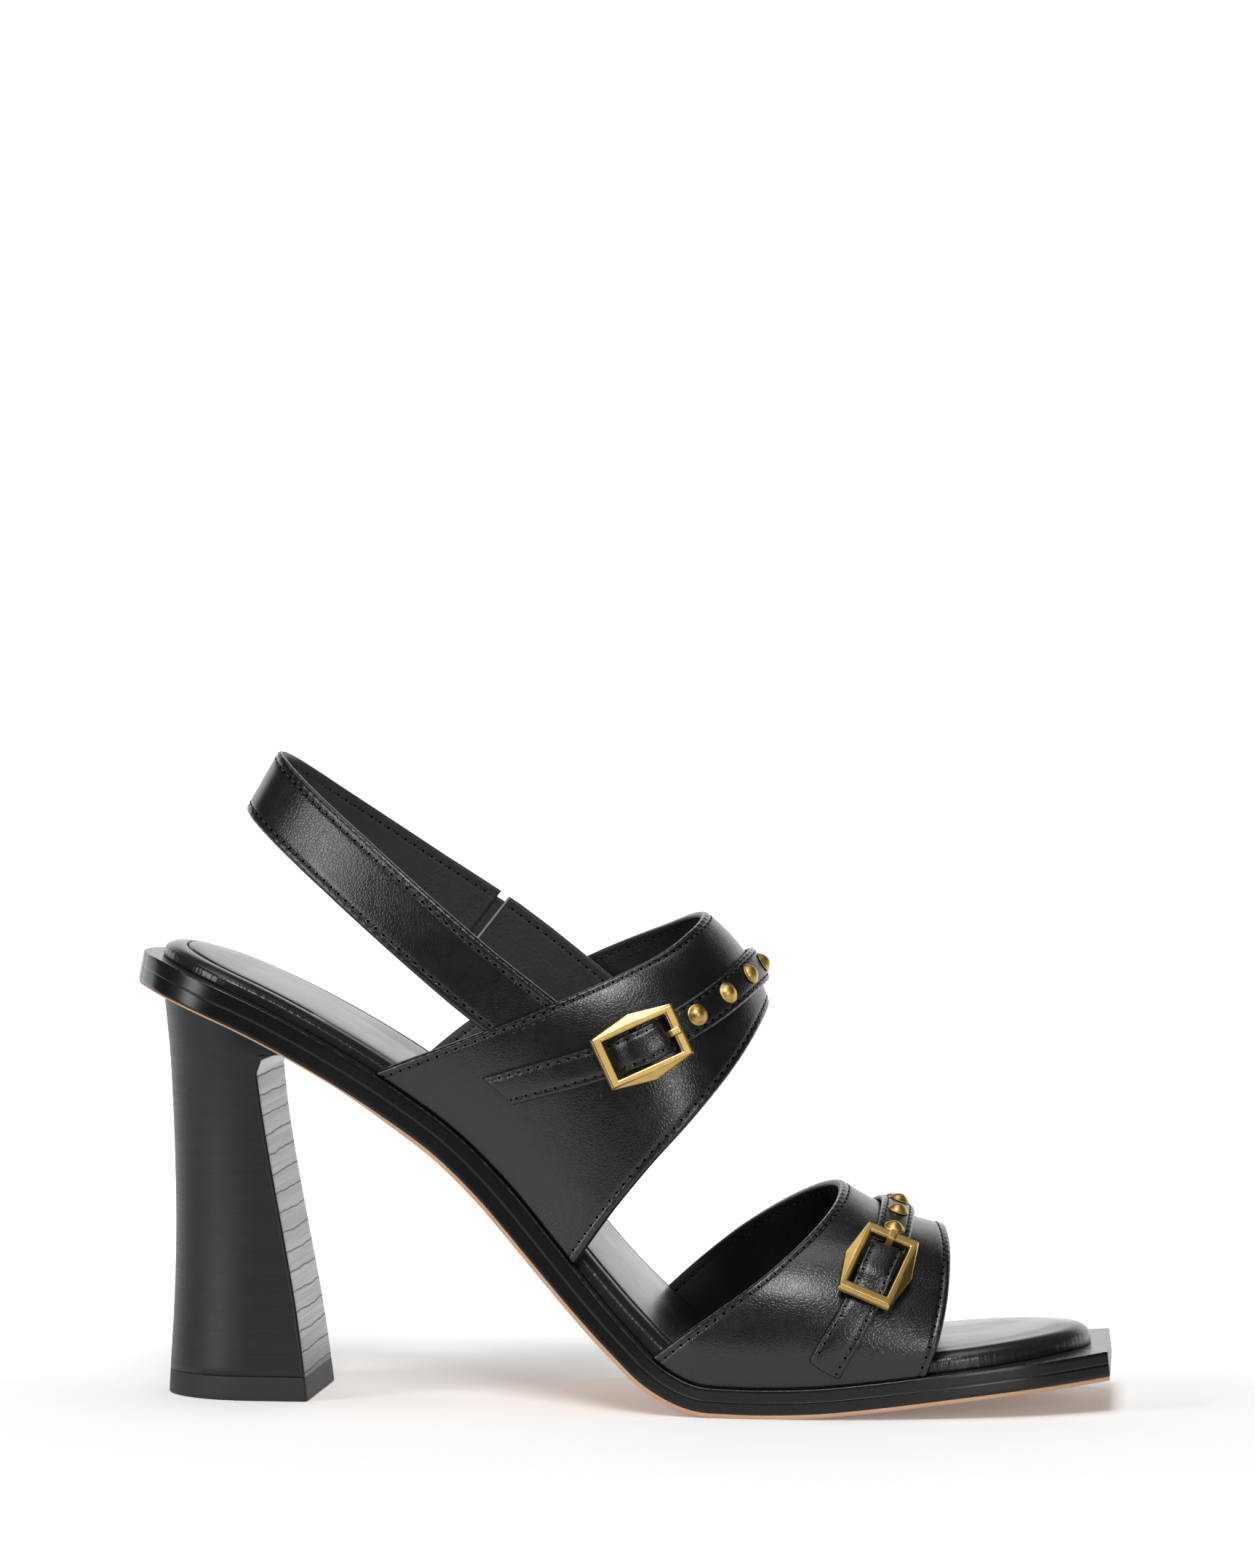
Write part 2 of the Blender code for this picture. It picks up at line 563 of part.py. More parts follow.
def strap(name, band, line, start, stop, lift, skew=0.0, columns=5):
    """A strap along its line between two distances, raised by lift(distance), its start cut at a slant."""
    run, u_line, v_line = line
    count = max(4, int(round((stop - start) / 3.2)) + 1)
    rows_top = []
    rows_under = []
    for distance in np.linspace(start, stop, count):
        top = []
        under = []
        for f in np.linspace(-1, 1, columns):
            slant = skew * f * max(0.0, 1 - (distance - start) / 9.0)
            d = distance + slant
            u = np.interp(d, run, u_line)
            v = np.interp(d, run, v_line)
            near = (d - 0.6, d + 0.6)
            behind, ahead = band_frame(band, np.interp(near, run, u_line), np.interp(near, run, v_line))[0]
            n = band_frame(band, [u], [v])[3][0]
            side = np.cross(n, ahead - behind)
            side = side / np.linalg.norm(side)
            shift = side * f * STRAP_WIDE / 2
            u2, v2 = beside(band, np.array([u]), np.array([v]), shift[None])
            at, _, _, out = band_frame(band, u2, v2)
            raised = GAP + lift(d)
            under.append(at[0] + out[0] * raised)
            top.append(at[0] + out[0] * (raised + STRAP_THICK * (1.0 if abs(f) < 0.99 else 0.8)))
        rows_top.append(top)
        rows_under.append(under)
    return slab(name, np.array(rows_top), np.array(rows_under), LEATHER)


def at_buckle(band, line, buckle_u):
    """Where a buckle sits: distance along the strap, its middle and its long, cross and outward axes."""
    run, u_line, v_line = line
    distance = np.interp(buckle_u, u_line, run)
    ends = [np.interp(distance + d, run, u_line) for d in (-8.0, 0.0, 8.0)]
    vs = [np.interp(distance + d, run, v_line) for d in (-8.0, 0.0, 8.0)]
    at, _, _, n = band_frame(band, ends, vs)
    along = at[2] - at[0]
    out = n.sum(0)
    out = out / np.linalg.norm(out)
    along = along - out * (along @ out)
    along = along / np.linalg.norm(along)
    return distance, at[1], along, np.cross(out, along), out


def placed(points, middle, along, side, out):
    """Local points, along, across and outward, put in the buckle's place."""
    points = np.asarray(points, float)
    return middle + points[..., :1] * along + points[..., 1:2] * side + points[..., 2:3] * out


def clearance(band, place, middle_u, over_strap):
    """The lowest a flat frame can sit clear of the band and of the strap under its end bars."""
    _, middle, along, side, out = place
    u = np.linspace(middle_u - 0.16, middle_u + 0.16, 61)
    v = np.linspace(0.02, 0.98, 61)
    uu, vv = np.meshgrid(u, v)
    at = band_frame(band, uu.ravel(), vv.ravel())[0] - middle
    a = at @ along
    b = at @ side
    h = at @ out
    half = BUCKLE_WIDE / 2 + BUCKLE_BULGE * (1 - np.abs(a) / (BUCKLE_LONG / 2))
    inside = (np.abs(a) < BUCKLE_LONG / 2 + 0.2) & (np.abs(b) < half + 0.2)
    window = (np.abs(a) < WINDOW_LONG / 2 - 0.2) & (np.abs(b) < WINDOW_WIDE / 2 - 0.2)
    under_bar = inside & (np.abs(a) > WINDOW_LONG / 2 - 0.3) & (np.abs(b) < STRAP_WIDE / 2 + 0.3)
    clear = h[inside & ~window].max() + GAP
    return max(clear, h[under_bar].max() + over_strap)


def buckle(name, band, line, buckle_u):
    """A flat frame with swollen sides and a bar across its window, resting over the strap."""
    place = at_buckle(band, line, buckle_u)
    _, middle, along, side, out = place
    low = clearance(band, place, buckle_u, GAP + STRAP_THICK + GAP)
    half_long = BUCKLE_LONG / 2
    half_wide = BUCKLE_WIDE / 2
    window_long = WINDOW_LONG / 2
    window_wide = WINDOW_WIDE / 2
    outline = [
        (-half_long, -half_wide), (0, -half_wide - BUCKLE_BULGE), (half_long, -half_wide),
        (half_long, half_wide), (0, half_wide + BUCKLE_BULGE), (-half_long, half_wide),
    ]
    opening = [
        (-window_long, -window_wide), (0, -window_wide), (window_long, -window_wide),
        (window_long, window_wide), (0, window_wide), (-window_long, window_wide),
    ]
    rings = []
    for ring, height in ((outline, 0.0), (outline, 0.6), (None, 1.0), (opening, 1.0), (opening, 0.0)):
        if ring is None:
            ring = [(x * 0.94 + 0.06 * p, y * 0.9 + 0.1 * q) for (x, y), (p, q) in zip(outline, opening)]
        rings.append([(x, y, low + height * BUCKLE_THICK) for x, y in ring])
    count = len(outline)
    points = np.array(rings).reshape(-1, 3)
    faces = []
    for r in range(len(rings)):
        after = (r + 1) % len(rings)
        for k in range(count):
            n = (k + 1) % count
            faces.append((r * count + k, r * count + n, after * count + n, after * count + k))
    frame = put_in(name, placed(points, middle, along, side, out), faces, BRASS)
    half_bar = BAR_WIDE / 2
    bar = []
    for y, base in ((-1.6, low), (-1.0, GAP), (1.0, GAP), (1.6, low)):
        across = y + math.copysign(window_wide, y)
        top = base + MIDDLE_BAR
        corners = ((-half_bar, base), (half_bar, base), (half_bar, top), (-half_bar, top))
        bar.append([(x, across, z) for x, z in corners])
    bar_piece = loft(name + "_bar", placed(np.array(bar), middle, along, side, out), BRASS)
    cut(frame, bar_piece, "UNION")
    return place, low


def prong(name, place, low):
    """The tongue: from the middle bar under the tail, up over the far end bar."""
    _, middle, along, side, out = place
    top = low + BUCKLE_THICK
    start = BAR_WIDE / 2 + GAP
    over = WINDOW_LONG / 2 + 1.9
    line = [(start, GAP), (5.2, GAP), (6.2, max(1.2, low)), (7.2, top + GAP), (over, top + GAP)]
    loops = []
    for x, z in line:
        half = PRONG_WIDE / 2
        upper_half = half * 0.7
        up = z + PRONG_THICK
        loops.append([(x, -half, z), (x, half, z), (x, upper_half, up), (x, -upper_half, up)])
    return loft(name, placed(np.array(loops), middle, along, side, out), BRASS)


def stud(name, band, line, distance, lift):
    """A domed stud on the strap at a distance along it."""
    run, u_line, v_line = line
    at_u = np.interp(distance, run, u_line)
    v = np.interp(distance, run, v_line)
    at, by_u, _, n = band_frame(band, [at_u], [v])
    out = n[0]
    along = by_u[0] - out * (by_u[0] @ out)
    along = along / np.linalg.norm(along)
    side = np.cross(out, along)
    base = 2 * GAP + STRAP_THICK + lift(distance) + 0.05
    loops = []
    for wide, high in ((1.0, 0.0), (0.97, 0.28), (0.74, 0.68), (0.36, 0.93)):
        turn = np.linspace(0, 2 * math.pi, 12, endpoint=False)
        r = STUD_WIDE / 2 * wide
        loops.append([(r * math.cos(k), r * math.sin(k), base + STUD_HIGH * high) for k in turn])
    return loft(name, placed(np.array(loops), at[0], along, side, out), BRASS)


def tail_lift(from_buckle):
    """How far the tail stands off its band at a distance from the buckle."""
    table = np.array(TAIL_LIFT)
    return float(read_curve(table[:, 0], table[:, 1:], from_buckle)[0, 0])


def studded_lift(distance, ridge):
    """The studded part stands off a little where it crosses the ridge of the foot."""
    return RIDGE_LIFT * math.exp(-(((distance - ridge) / 13.0) ** 2))


INSTEP = (INSTEP_EDGES, INSTEP_FEET)
VAMP = (VAMP_EDGES, VAMP_FEET)
for label, band, table, buckle_u, first_stud, studs, skew in (
    ("instep", INSTEP, INSTEP_STRAP, INSTEP_BUCKLE_U, INSTEP_STUDS_FROM, INSTEP_STUDS, -2.6),
    ("vamp", VAMP, VAMP_STRAP, VAMP_BUCKLE_U, VAMP_STUDS_FROM, VAMP_STUDS, 0.6),
):
    line = strap_line(band, table)
    place, low = buckle(label + "_buckle", band, line, buckle_u)
    middle = place[0]
    ridge = float(np.interp(0.5, line[1], line[0]))
    strap(label + "_tail", band, line, abs(skew), middle + TAIL_END, lambda d: tail_lift(d - middle), skew)
    stop = float(line[0][-1])
    strap(label + "_strap", band, line, middle + STUDDED_START, stop, lambda d: studded_lift(d, ridge))
    prong(label + "_prong", place, low)
    for k in range(studs):
        distance = first_stud + STUD_PITCH * k
        stud(f"{label}_stud_{k + 1}", band, line, distance, lambda d: studded_lift(d, ridge))


# Origin: the middle of the outline on the floor

corners = np.concatenate([np.array([v.co for v in piece.data.vertices]) for piece in SANDAL.objects])
middle_x = (corners[:, 0].min() + corners[:, 0].max()) / 2
middle_y = (corners[:, 1].min() + corners[:, 1].max()) / 2
for piece in list(SANDAL.objects) + list(CUTTERS.objects):
    piece.data.transform(Matrix.Translation((-middle_x, -middle_y, 0.0)))
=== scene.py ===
"""Block heel sandal with a slingback, a right shoe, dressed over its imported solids.

Tables are in millimetres: +X runs to the toe, +Y to the inner side of the foot and +Z up. A place on the sole
is (s, w, up): s along its curved middle line from the back, w across it and up square to it.
"""
import math

import bmesh
import bpy
import mathutils
import numpy as np
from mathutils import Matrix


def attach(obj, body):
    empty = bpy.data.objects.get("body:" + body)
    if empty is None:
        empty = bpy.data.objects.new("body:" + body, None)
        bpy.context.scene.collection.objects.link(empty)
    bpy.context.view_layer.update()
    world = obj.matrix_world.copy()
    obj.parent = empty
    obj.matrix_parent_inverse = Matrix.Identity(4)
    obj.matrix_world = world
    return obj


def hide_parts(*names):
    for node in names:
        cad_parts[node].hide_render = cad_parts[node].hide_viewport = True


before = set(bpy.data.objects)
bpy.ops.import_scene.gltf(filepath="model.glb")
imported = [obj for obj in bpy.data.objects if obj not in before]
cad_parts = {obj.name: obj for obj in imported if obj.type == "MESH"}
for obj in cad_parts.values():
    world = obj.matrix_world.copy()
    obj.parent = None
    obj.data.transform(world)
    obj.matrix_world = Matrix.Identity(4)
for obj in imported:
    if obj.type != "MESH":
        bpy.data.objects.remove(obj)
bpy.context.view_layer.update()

# Camera: the photograph's place, a long lens 1.6 m off the outer side, turned 7 degrees towards the toe end
# and tipped down a little.

CAMERA_AT = (0.1990, -1.6170, 0.2145)
CAMERA_TURN = 7.0
CAMERA_DOWN = 2.59
LENS_PIXELS = 9775.0
PHOTO_HIGH = 2156.0

lens = bpy.data.cameras.new("camera")
lens.sensor_fit = "VERTICAL"
lens.sensor_height = 36.0
lens.lens = LENS_PIXELS / PHOTO_HIGH * 36.0
lens.clip_end = 50.0
camera = bpy.data.objects.new("camera", lens)
camera.location = CAMERA_AT
camera.rotation_euler = (math.radians(90 - CAMERA_DOWN), 0.0, math.radians(CAMERA_TURN))
bpy.context.scene.collection.objects.link(camera)
bpy.context.scene.camera = camera

# Top lift: a 5.5 mm slice of black rubber under the heel, sawn to its outline and sanded round its edge. It is
# nailed on. As the first piece made here, it comes with the helpers that all pieces share.

MM = 0.001
MIDDLE = (0.523, 0.045, 0.0)


def linear(hex_colour):
    """A linear colour from an sRGB hex value: each part to the power of the sRGB curve."""
    parts = [int(hex_colour[k : k + 2], 16) / 255 for k in (1, 3, 5)]
    return tuple(p / 12.92 if p <= 0.04045 else ((p + 0.055) / 1.055) ** 2.4 for p in parts) + (1.0,)


def wire(node, sockets):
    """Sets a node's sockets by name or number: each gets a value, a hex colour or another node's output."""
    for name, value in sockets.items():
        if isinstance(value, bpy.types.NodeSocket):
            node.id_data.links.new(value, node.inputs[name])
        else:
            node.inputs[name].default_value = linear(value) if isinstance(value, str) else value


def add(tree, kind, sockets=None, out=0, **settings):
    """Adds a shader node with its settings and sockets, and gives one of its outputs.

    Map Range turns 0, from 1 to 2, into 3 to 4. Mix blends by 0 the colours 6 and 7, or the vectors 4 and 5.
    """
    node = tree.nodes.new("ShaderNode" + kind)
    for name, value in settings.items():
        setattr(node, name, value)
    wire(node, sockets or {})
    return node.outputs[out]


EASED = {"interpolation_type": "SMOOTHSTEP"}
COLOURS = {"data_type": "RGBA"}


def surface(name, base, rough, metal=0.0, coat=0.0, coat_rough=0.2):
    """A new Principled material, its tree and its shader."""
    made = bpy.data.materials.new(name)
    made.use_nodes = True
    shader = made.node_tree.nodes["Principled BSDF"]
    plain = {"Base Color": base, "Roughness": rough, "Metallic": metal}
    wire(shader, plain | {"Coat Weight": coat, "Coat Roughness": coat_rough})
    return made, made.node_tree, shader


def piece(name, points, faces, finishes, node, face_finish=None, seam=None, smooth=True):
    """One finished piece: points in millimetres, closed faces turned outward, merged poles, its finishes.

    seam gives each point a pair of millimetres, along the nearest edge and away from it, kept as a UV map.
    """
    mesh = bpy.data.meshes.new(name)
    mesh.from_pydata((np.asarray(points, float).reshape(-1, 3) + MIDDLE) * MM, [], np.asarray(faces).tolist())
    for finish in finishes:
        mesh.materials.append(finish)
    if face_finish is not None:
        mesh.polygons.foreach_set("material_index", np.asarray(face_finish, np.int32))
    if seam is not None:
        corner = np.empty(len(mesh.loops), np.int32)
        mesh.loops.foreach_get("vertex_index", corner)
        mesh.uv_layers.new(name="seam").data.foreach_set("uv", np.asarray(seam, np.float32)[corner].ravel())
    work = bmesh.new()
    work.from_mesh(mesh)
    bmesh.ops.remove_doubles(work, verts=work.verts, dist=1e-7)
    bmesh.ops.recalc_face_normals(work, faces=work.faces)
    work.to_mesh(mesh)
    work.free()
    mesh.polygons.foreach_set("use_smooth", np.full(len(mesh.polygons), smooth))
    made = bpy.data.objects.new(name, mesh)
    bpy.context.scene.collection.objects.link(made)
    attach(made, "root")
    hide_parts(node)
    return made


def quads(rows, columns, around=False, start=0):
    """The faces of a grid of points; with around, each row closes on itself."""
    i = np.arange(rows - 1)[:, None]
    j = np.arange(columns if around else columns - 1)[None, :]
    k = (j + 1) % columns
    corners = (i * columns + j, i * columns + k, (i + 1) * columns + k, (i + 1) * columns + j)
    return start + np.stack(np.broadcast_arrays(*corners), axis=-1).reshape(-1, 4)


def unit(vectors):
    """Vectors brought to a length of one."""
    return vectors / np.linalg.norm(vectors, axis=-1, keepdims=True)


def run_along(line):
    """The distance run along a line at each of its points."""
    return np.concatenate([[0], np.cumsum(np.linalg.norm(np.diff(line, axis=0), axis=1))])


def read_rows(where, at, rows):
    """Rows read between their places by straight lines."""
    return np.stack([np.interp(where, at, column) for column in rows.T], axis=-1)


def circle(count):
    """Angles evenly round a full turn."""
    return np.linspace(0, 2 * math.pi, count + 1)[:-1]


def read_curve(at, rows, where):
    """A smooth table: a cubic between rows whose slope at a row is the chord of its neighbours."""
    at = np.asarray(at, float)
    rows = np.asarray(rows, float)
    where = np.clip(np.atleast_1d(np.asarray(where, float)), at[0], at[-1])
    slope = np.gradient(rows, at, axis=0)
    i = np.clip(np.searchsorted(at, where, side="right") - 1, 0, len(at) - 2)
    step = (at[i + 1] - at[i])[:, None]
    f = (where - at[i])[:, None] / step
    from_start = (2 * f**3 - 3 * f**2 + 1) * rows[i] + (f**3 - 2 * f**2 + f) * step * slope[i]
    return from_start + (3 * f**2 - 2 * f**3) * rows[i + 1] + (f**3 - f**2) * step * slope[i + 1]


# The heel: height, x of its back face and of its breast, half width.
HEEL = np.array((
    (0.0, -106.4, -71.1, 19.4), (6.0, -106.1, -71.8, 19.2), (20.0, -105.3, -73.7, 18.5),
    (38.0, -104.8, -76.9, 17.8), (54.0, -105.0, -79.8, 17.8), (66.0, -105.4, -81.7, 18.3),
    (75.0, -105.8, -82.8, 19.2), (78.2, -106.0, -81.6, 19.8), (79.4, -106.1, -78.6, 20.1),
    (79.8, -106.1, -69.0, 20.2), (110.0, -109.0, -60.0, 23.0),
))
HEEL_MIDDLE = -2.3
HEEL_ROUND = 22.0
LIFT_TOP = 5.5


def heel_outline(height, inset=0.0):
    """Loops round the heel: a straight breast, rounded corners, sides, and half an ellipse at the back.

    The profile is a smooth curve up to its seventh row, and straight lines above, where the breast flares.
    """
    height = np.atleast_1d(height)
    low = read_curve(HEEL[:7, 0], HEEL[:7, 1:], np.minimum(height, 75.0))
    high = np.stack([np.interp(height, HEEL[:, 0], HEEL[:, k]) for k in (1, 2, 3)], axis=-1)
    back, breast, half = np.where((height < 74.0)[:, None], low, high).T
    back = (back + inset)[:, None]
    breast = (breast - inset)[:, None]
    half = (half - inset)[:, None]
    corner = 0.9
    turn = np.linspace(0, math.pi, 61)
    bend = np.linspace(0, math.pi / 2, 7)
    run = np.linspace(0, 1, 14)[1:-1]
    side_x = breast - corner + (back + HEEL_ROUND - breast + corner) * run
    one = np.ones_like(run)
    x = np.concatenate([
        breast + 0 * run, breast - corner + corner * np.cos(bend), side_x,
        back + HEEL_ROUND * (1 - np.sin(turn)), side_x[:, ::-1], breast - corner + corner * np.sin(bend),
    ], axis=1)
    y = np.concatenate([
        (half - corner) * (1 - 2 * run), -half + corner - corner * np.sin(bend), -half * one,
        -half * np.cos(turn), half * one, half - corner + corner * np.cos(bend),
    ], axis=1) + HEEL_MIDDLE
    return x, y


def block(name, x, y, z, finishes, node):
    """A closed piece through loops, flat at both ends, each end drawn in to a point."""
    loops = np.stack([x, y, np.broadcast_to(z, x.shape)], axis=-1)
    ends = []
    for k in (0, -1):
        middle = loops[k].mean(0)
        ends.append(middle + (loops[k] - middle) * np.array([0.0, 0.5, 0.97])[:, None, None])
    loops = np.concatenate([ends[0], loops, ends[1][::-1]])
    count, around = loops.shape[:2]
    return piece(name, loops, quads(count, around, around=True), finishes, node)


# Crepe rubber, sawn and sanded: dead black with a faint grain that breaks the light.
rubber, tree, shader = surface("sanded_rubber", "#131314", 0.62)
place = add(tree, "TexCoord", out="Object")
grit = add(tree, "TexNoise", {"Vector": place, "Scale": 1400.0, "Detail": 3.0})
wire(shader, {
    "Base Color": add(tree, "Mix", {0: grit, 6: "#0d0d0e", 7: "#1d1d1f"}, 2, **COLOURS),
    "Normal": add(tree, "Bump", {"Height": grit, "Strength": 0.35, "Distance": 0.00012}),
})

heights = np.array([0.0, 0.12, 0.35, 1.4, 2.8, 4.2, 5.25, 5.42, LIFT_TOP])
insets = np.array([0.45, 0.15, 0.0, 0.0, 0.0, 0.0, 0.0, 0.02, 0.09])
x, y = heel_outline(heights, insets)
block("toplift_rubber", x, y, heights[:, None], [rubber], "toplift")

# Heel block: a moulded core under a cover printed and scored as stacked leather, dyed black and buffed to a
# satin. The layers show as fine lines 4.5 mm apart, wavy on the breast.

# The sole's upper side along its middle: x and z, from the back to the toe.
SPINE = (
    (-112.2, 102.2), (-105.8, 100.9), (-99.7, 98.8), (-91.2, 95.4), (-78.2, 89.3), (-69.0, 84.3),
    (-60.2, 79.1), (-49.1, 71.9), (-37.2, 63.3), (-25.6, 52.4), (-13.1, 38.2), (-5.0, 28.6), (4.8, 17.9),
    (12.0, 11.1), (20.0, 7.2), (28.0, 6.6), (38.0, 6.6), (47.0, 7.0), (60.0, 8.3), (75.0, 10.1),
    (90.1, 11.8), (111.4, 14.1),
)
SOLE_THICK_HEEL = 6.9
SOLE_THICK_BALL = 5.6
SOLE_THIN_FROM = 105.0
SOLE_THIN_TO = 165.0
BOTTOM_THICK = 0.9
GAP = 0.3


def smooth_line(points):
    """A fine smooth line through points and the distance run along it."""
    rows = np.array(points, float)
    chord = run_along(rows)
    fine = read_curve(chord, rows, np.linspace(0, chord[-1], 600))
    run = run_along(fine)
    return fine, run


def at_fraction(line, fractions):
    """Points at these fractions of a smooth line's length."""
    fine, run = line
    wanted = np.asarray(fractions, float) * run[-1]
    return read_rows(wanted, run, fine)


spine_fine = at_fraction(smooth_line(SPINE), np.linspace(0, 1, 1600))
spine_run = run_along(spine_fine)
spine_tangent = np.gradient(spine_fine, spine_run, axis=0)
SPINE_LENGTH = spine_run[-1]


def on_spine(s, up=0.0):
    """x and z at a distance along the spine, raised square to it."""
    x = np.interp(s, spine_run, spine_fine[:, 0])
    z = np.interp(s, spine_run, spine_fine[:, 1])
    tx = np.interp(s, spine_run, spine_tangent[:, 0])
    tz = np.interp(s, spine_run, spine_tangent[:, 1])
    long = np.hypot(tx, tz)
    return x - up * tz / long, z + up * tx / long


def sole_thick(s):
    """Thickness of the black edge, thinner from the ball forward."""
    f = np.clip((s - SOLE_THIN_FROM) / (SOLE_THIN_TO - SOLE_THIN_FROM), 0, 1)
    return SOLE_THICK_HEEL + (SOLE_THICK_BALL - SOLE_THICK_HEEL) * f * f * (3 - 2 * f)


def bottom_thick(s):
    """Thickness of the tan sheet, skived thin where the heel is fixed over it."""
    return 0.42 + (BOTTOM_THICK - 0.42) * np.clip((s - 58.0) / 20.0, 0, 1)


# Each column of the block stops where it meets the sole's underside.
under_s = np.linspace(0, SPINE_LENGTH * 0.5, 400)
under_x, under_z = on_spine(under_s, -sole_thick(under_s) - bottom_thick(under_s) - 0.02)
rise = np.arange(LIFT_TOP + 0.06, 96.0, 0.05)
x, y = heel_outline(rise)
below = rise[:, None] < np.interp(x, under_x, under_z)
top = rise[np.argmin(below, axis=0)]
steps = 1 - (1 - np.linspace(0, 1, 90)) ** 1.6
height = rise[0] + (top - rise[0]) * steps[:, None]
low_round = 0.05 * np.exp(-((height - rise[0]) / 0.16) ** 2)
cell = np.clip((height - rise[0]) / 0.05, 0, len(rise) - 1.001)
i = cell.astype(int)
column = np.arange(x.shape[1])[None, :]
f = cell - i
bx = x[i, column] * (1 - f) + x[i + 1, column] * f
by = y[i, column] * (1 - f) + y[i + 1, column] * f
by = HEEL_MIDDLE + (by - HEEL_MIDDLE) * (1 - low_round / 20)

LAYER_HIGH = 0.0045
WAVE_HIGH = 0.0014
# Stacked-look cover, dyed and buffed: layer lines cut as hairlines, a fine grain along each layer.
stack, tree, shader = surface("stacked_heel_cover", "#232425", 0.42)
place = add(tree, "TexCoord", out="Object")
facing = add(tree, "NewGeometry", out="Normal")
front = add(tree, "SeparateXYZ", {0: facing}, "X")
on_breast = add(tree, "MapRange", {0: front, 1: 0.5, 2: 0.9}, **EASED)
bent = add(tree, "TexNoise", {"Vector": place, "Scale": 70.0, "Detail": 2.0})
bent = add(tree, "Math", {0: bent, 1: 0.5}, operation="SUBTRACT")
wave = add(tree, "Math", {0: bent, 1: WAVE_HIGH}, operation="MULTIPLY")
amount = add(tree, "Math", {0: on_breast, 1: 0.25}, operation="ADD")
tall = add(tree, "SeparateXYZ", {0: place}, "Z")
tall = add(tree, "Math", {0: amount, 1: wave, 2: tall}, operation="MULTIPLY_ADD")
layer = add(tree, "Math", {0: tall, 1: 1 / LAYER_HIGH}, operation="MULTIPLY")
layer = add(tree, "Math", {0: layer}, operation="FRACT")
from_line = add(tree, "Math", {0: layer, 1: 0.5}, operation="SUBTRACT")
from_line = add(tree, "Math", {0: from_line}, operation="ABSOLUTE")
wide_line = add(tree, "Math", {0: on_breast, 1: 0.012, 2: 0.03}, operation="MULTIPLY_ADD")
hairline = add(tree, "Math", {0: from_line, 1: wide_line}, operation="LESS_THAN")
streak = add(tree, "Mapping", {"Vector": place, "Scale": (18.0, 18.0, 1500.0)})
fibre = add(tree, "TexNoise", {"Vector": streak, "Scale": 1.0, "Detail": 4.0})
patch = add(tree, "TexNoise", {"Vector": place, "Scale": 35.0, "Detail": 2.0})
broken = add(tree, "MapRange", {0: patch, 1: 0.35, 2: 0.65, 3: 0.15, 4: 0.7}, **EASED)
broken = add(tree, "Math", {0: broken, 1: on_breast}, operation="MAXIMUM")
line = add(tree, "Math", {0: hairline, 1: broken}, operation="MULTIPLY")
dark = add(tree, "Math", {0: line, 1: 0.75}, operation="MULTIPLY")
tone = add(tree, "Mix", {0: fibre, 6: "#0b0c0d", 7: "#17181a"}, 2, **COLOURS)
rough = add(tree, "MapRange", {0: fibre, 1: 0.3, 2: 0.7, 3: 0.42, 4: 0.48}, **EASED)
rough = add(tree, "Math", {0: on_breast, 1: -0.16, 2: rough}, operation="MULTIPLY_ADD")
breast_line = add(tree, "Math", {0: line, 1: on_breast}, operation="MULTIPLY")
cut = add(tree, "Math", {0: line, 1: -0.6}, operation="MULTIPLY")
relief = add(tree, "Math", {0: fibre, 1: 0.04, 2: cut}, operation="MULTIPLY_ADD")
wire(shader, {
    "Base Color": add(tree, "Mix", {0: dark, 6: tone, 7: "#0b0b0b"}, 2, **COLOURS),
    "Roughness": add(tree, "Math", {0: breast_line, 1: 0.2, 2: rough}, operation="MULTIPLY_ADD"),
    "Specular IOR Level": 0.40,
    "Normal": add(tree, "Bump", {"Height": relief, "Strength": 0.5, "Distance": 0.00012}),
})
block("heel_stack", bx, by, height, [stack], "heel")

# Sole: a black leather-look layer cut to the squared outline, its edge dyed, with the parting line of its two
# halves at mid height. Under it a thin tan sheet shows as a line along the arch.

# The sole's outline: distance from the back along the spine, half width on the outer and on the inner side.
SOLE_OUTLINE = np.array((
    (0.0, 29.0, 26.5), (29.0, 29.0, 26.5), (46.0, 28.4, 25.6), (69.0, 27.0, 24.0), (95.0, 27.4, 24.2),
    (125.0, 31.6, 29.0), (154.0, 36.4, 35.4), (176.0, 38.4, 38.8), (196.0, 38.6, 40.0), (216.0, 36.6, 38.6),
    (231.0, 33.2, 35.4), (244.0, 28.4, 31.0), (257.6, 19.6, 25.0),
))
SEAT_ROUND = 26.0
TOE_SKEW = 0.045
TOE_SKEW_FROM = 232.0


def rounded(distance, radius):
    """How far a rounded end has filled out at this distance from its tip."""
    f = np.clip(distance / radius, 0, 1)
    return np.sqrt(1 - (1 - f) ** 2)


def sole_sides(s):
    """Outer and inner half widths of the sole at a distance along the spine."""
    wide = read_curve(SOLE_OUTLINE[:, 0], SOLE_OUTLINE[:, 1:], s)
    return wide * rounded(s, SEAT_ROUND)[:, None]


def outline_of(sides, s, count):
    """A closed outline in (s, w), evenly spaced, down the outer side and back up the inner side.

    Also its outward normals and the distance run along it.
    """
    outer, inner = sides(s).T
    line = np.concatenate([np.stack([s, -outer], -1), np.stack([s[::-1], inner[::-1]], -1)])
    line = np.concatenate([line, line[:1]])
    run = run_along(line)
    at = np.linspace(0, run[-1], count, endpoint=False)
    even = read_rows(at, run, line)
    along = np.roll(even, -1, 0) - np.roll(even, 1, 0)
    out = np.stack([along[:, 1], -along[:, 0]], axis=-1)
    return even, unit(out), at


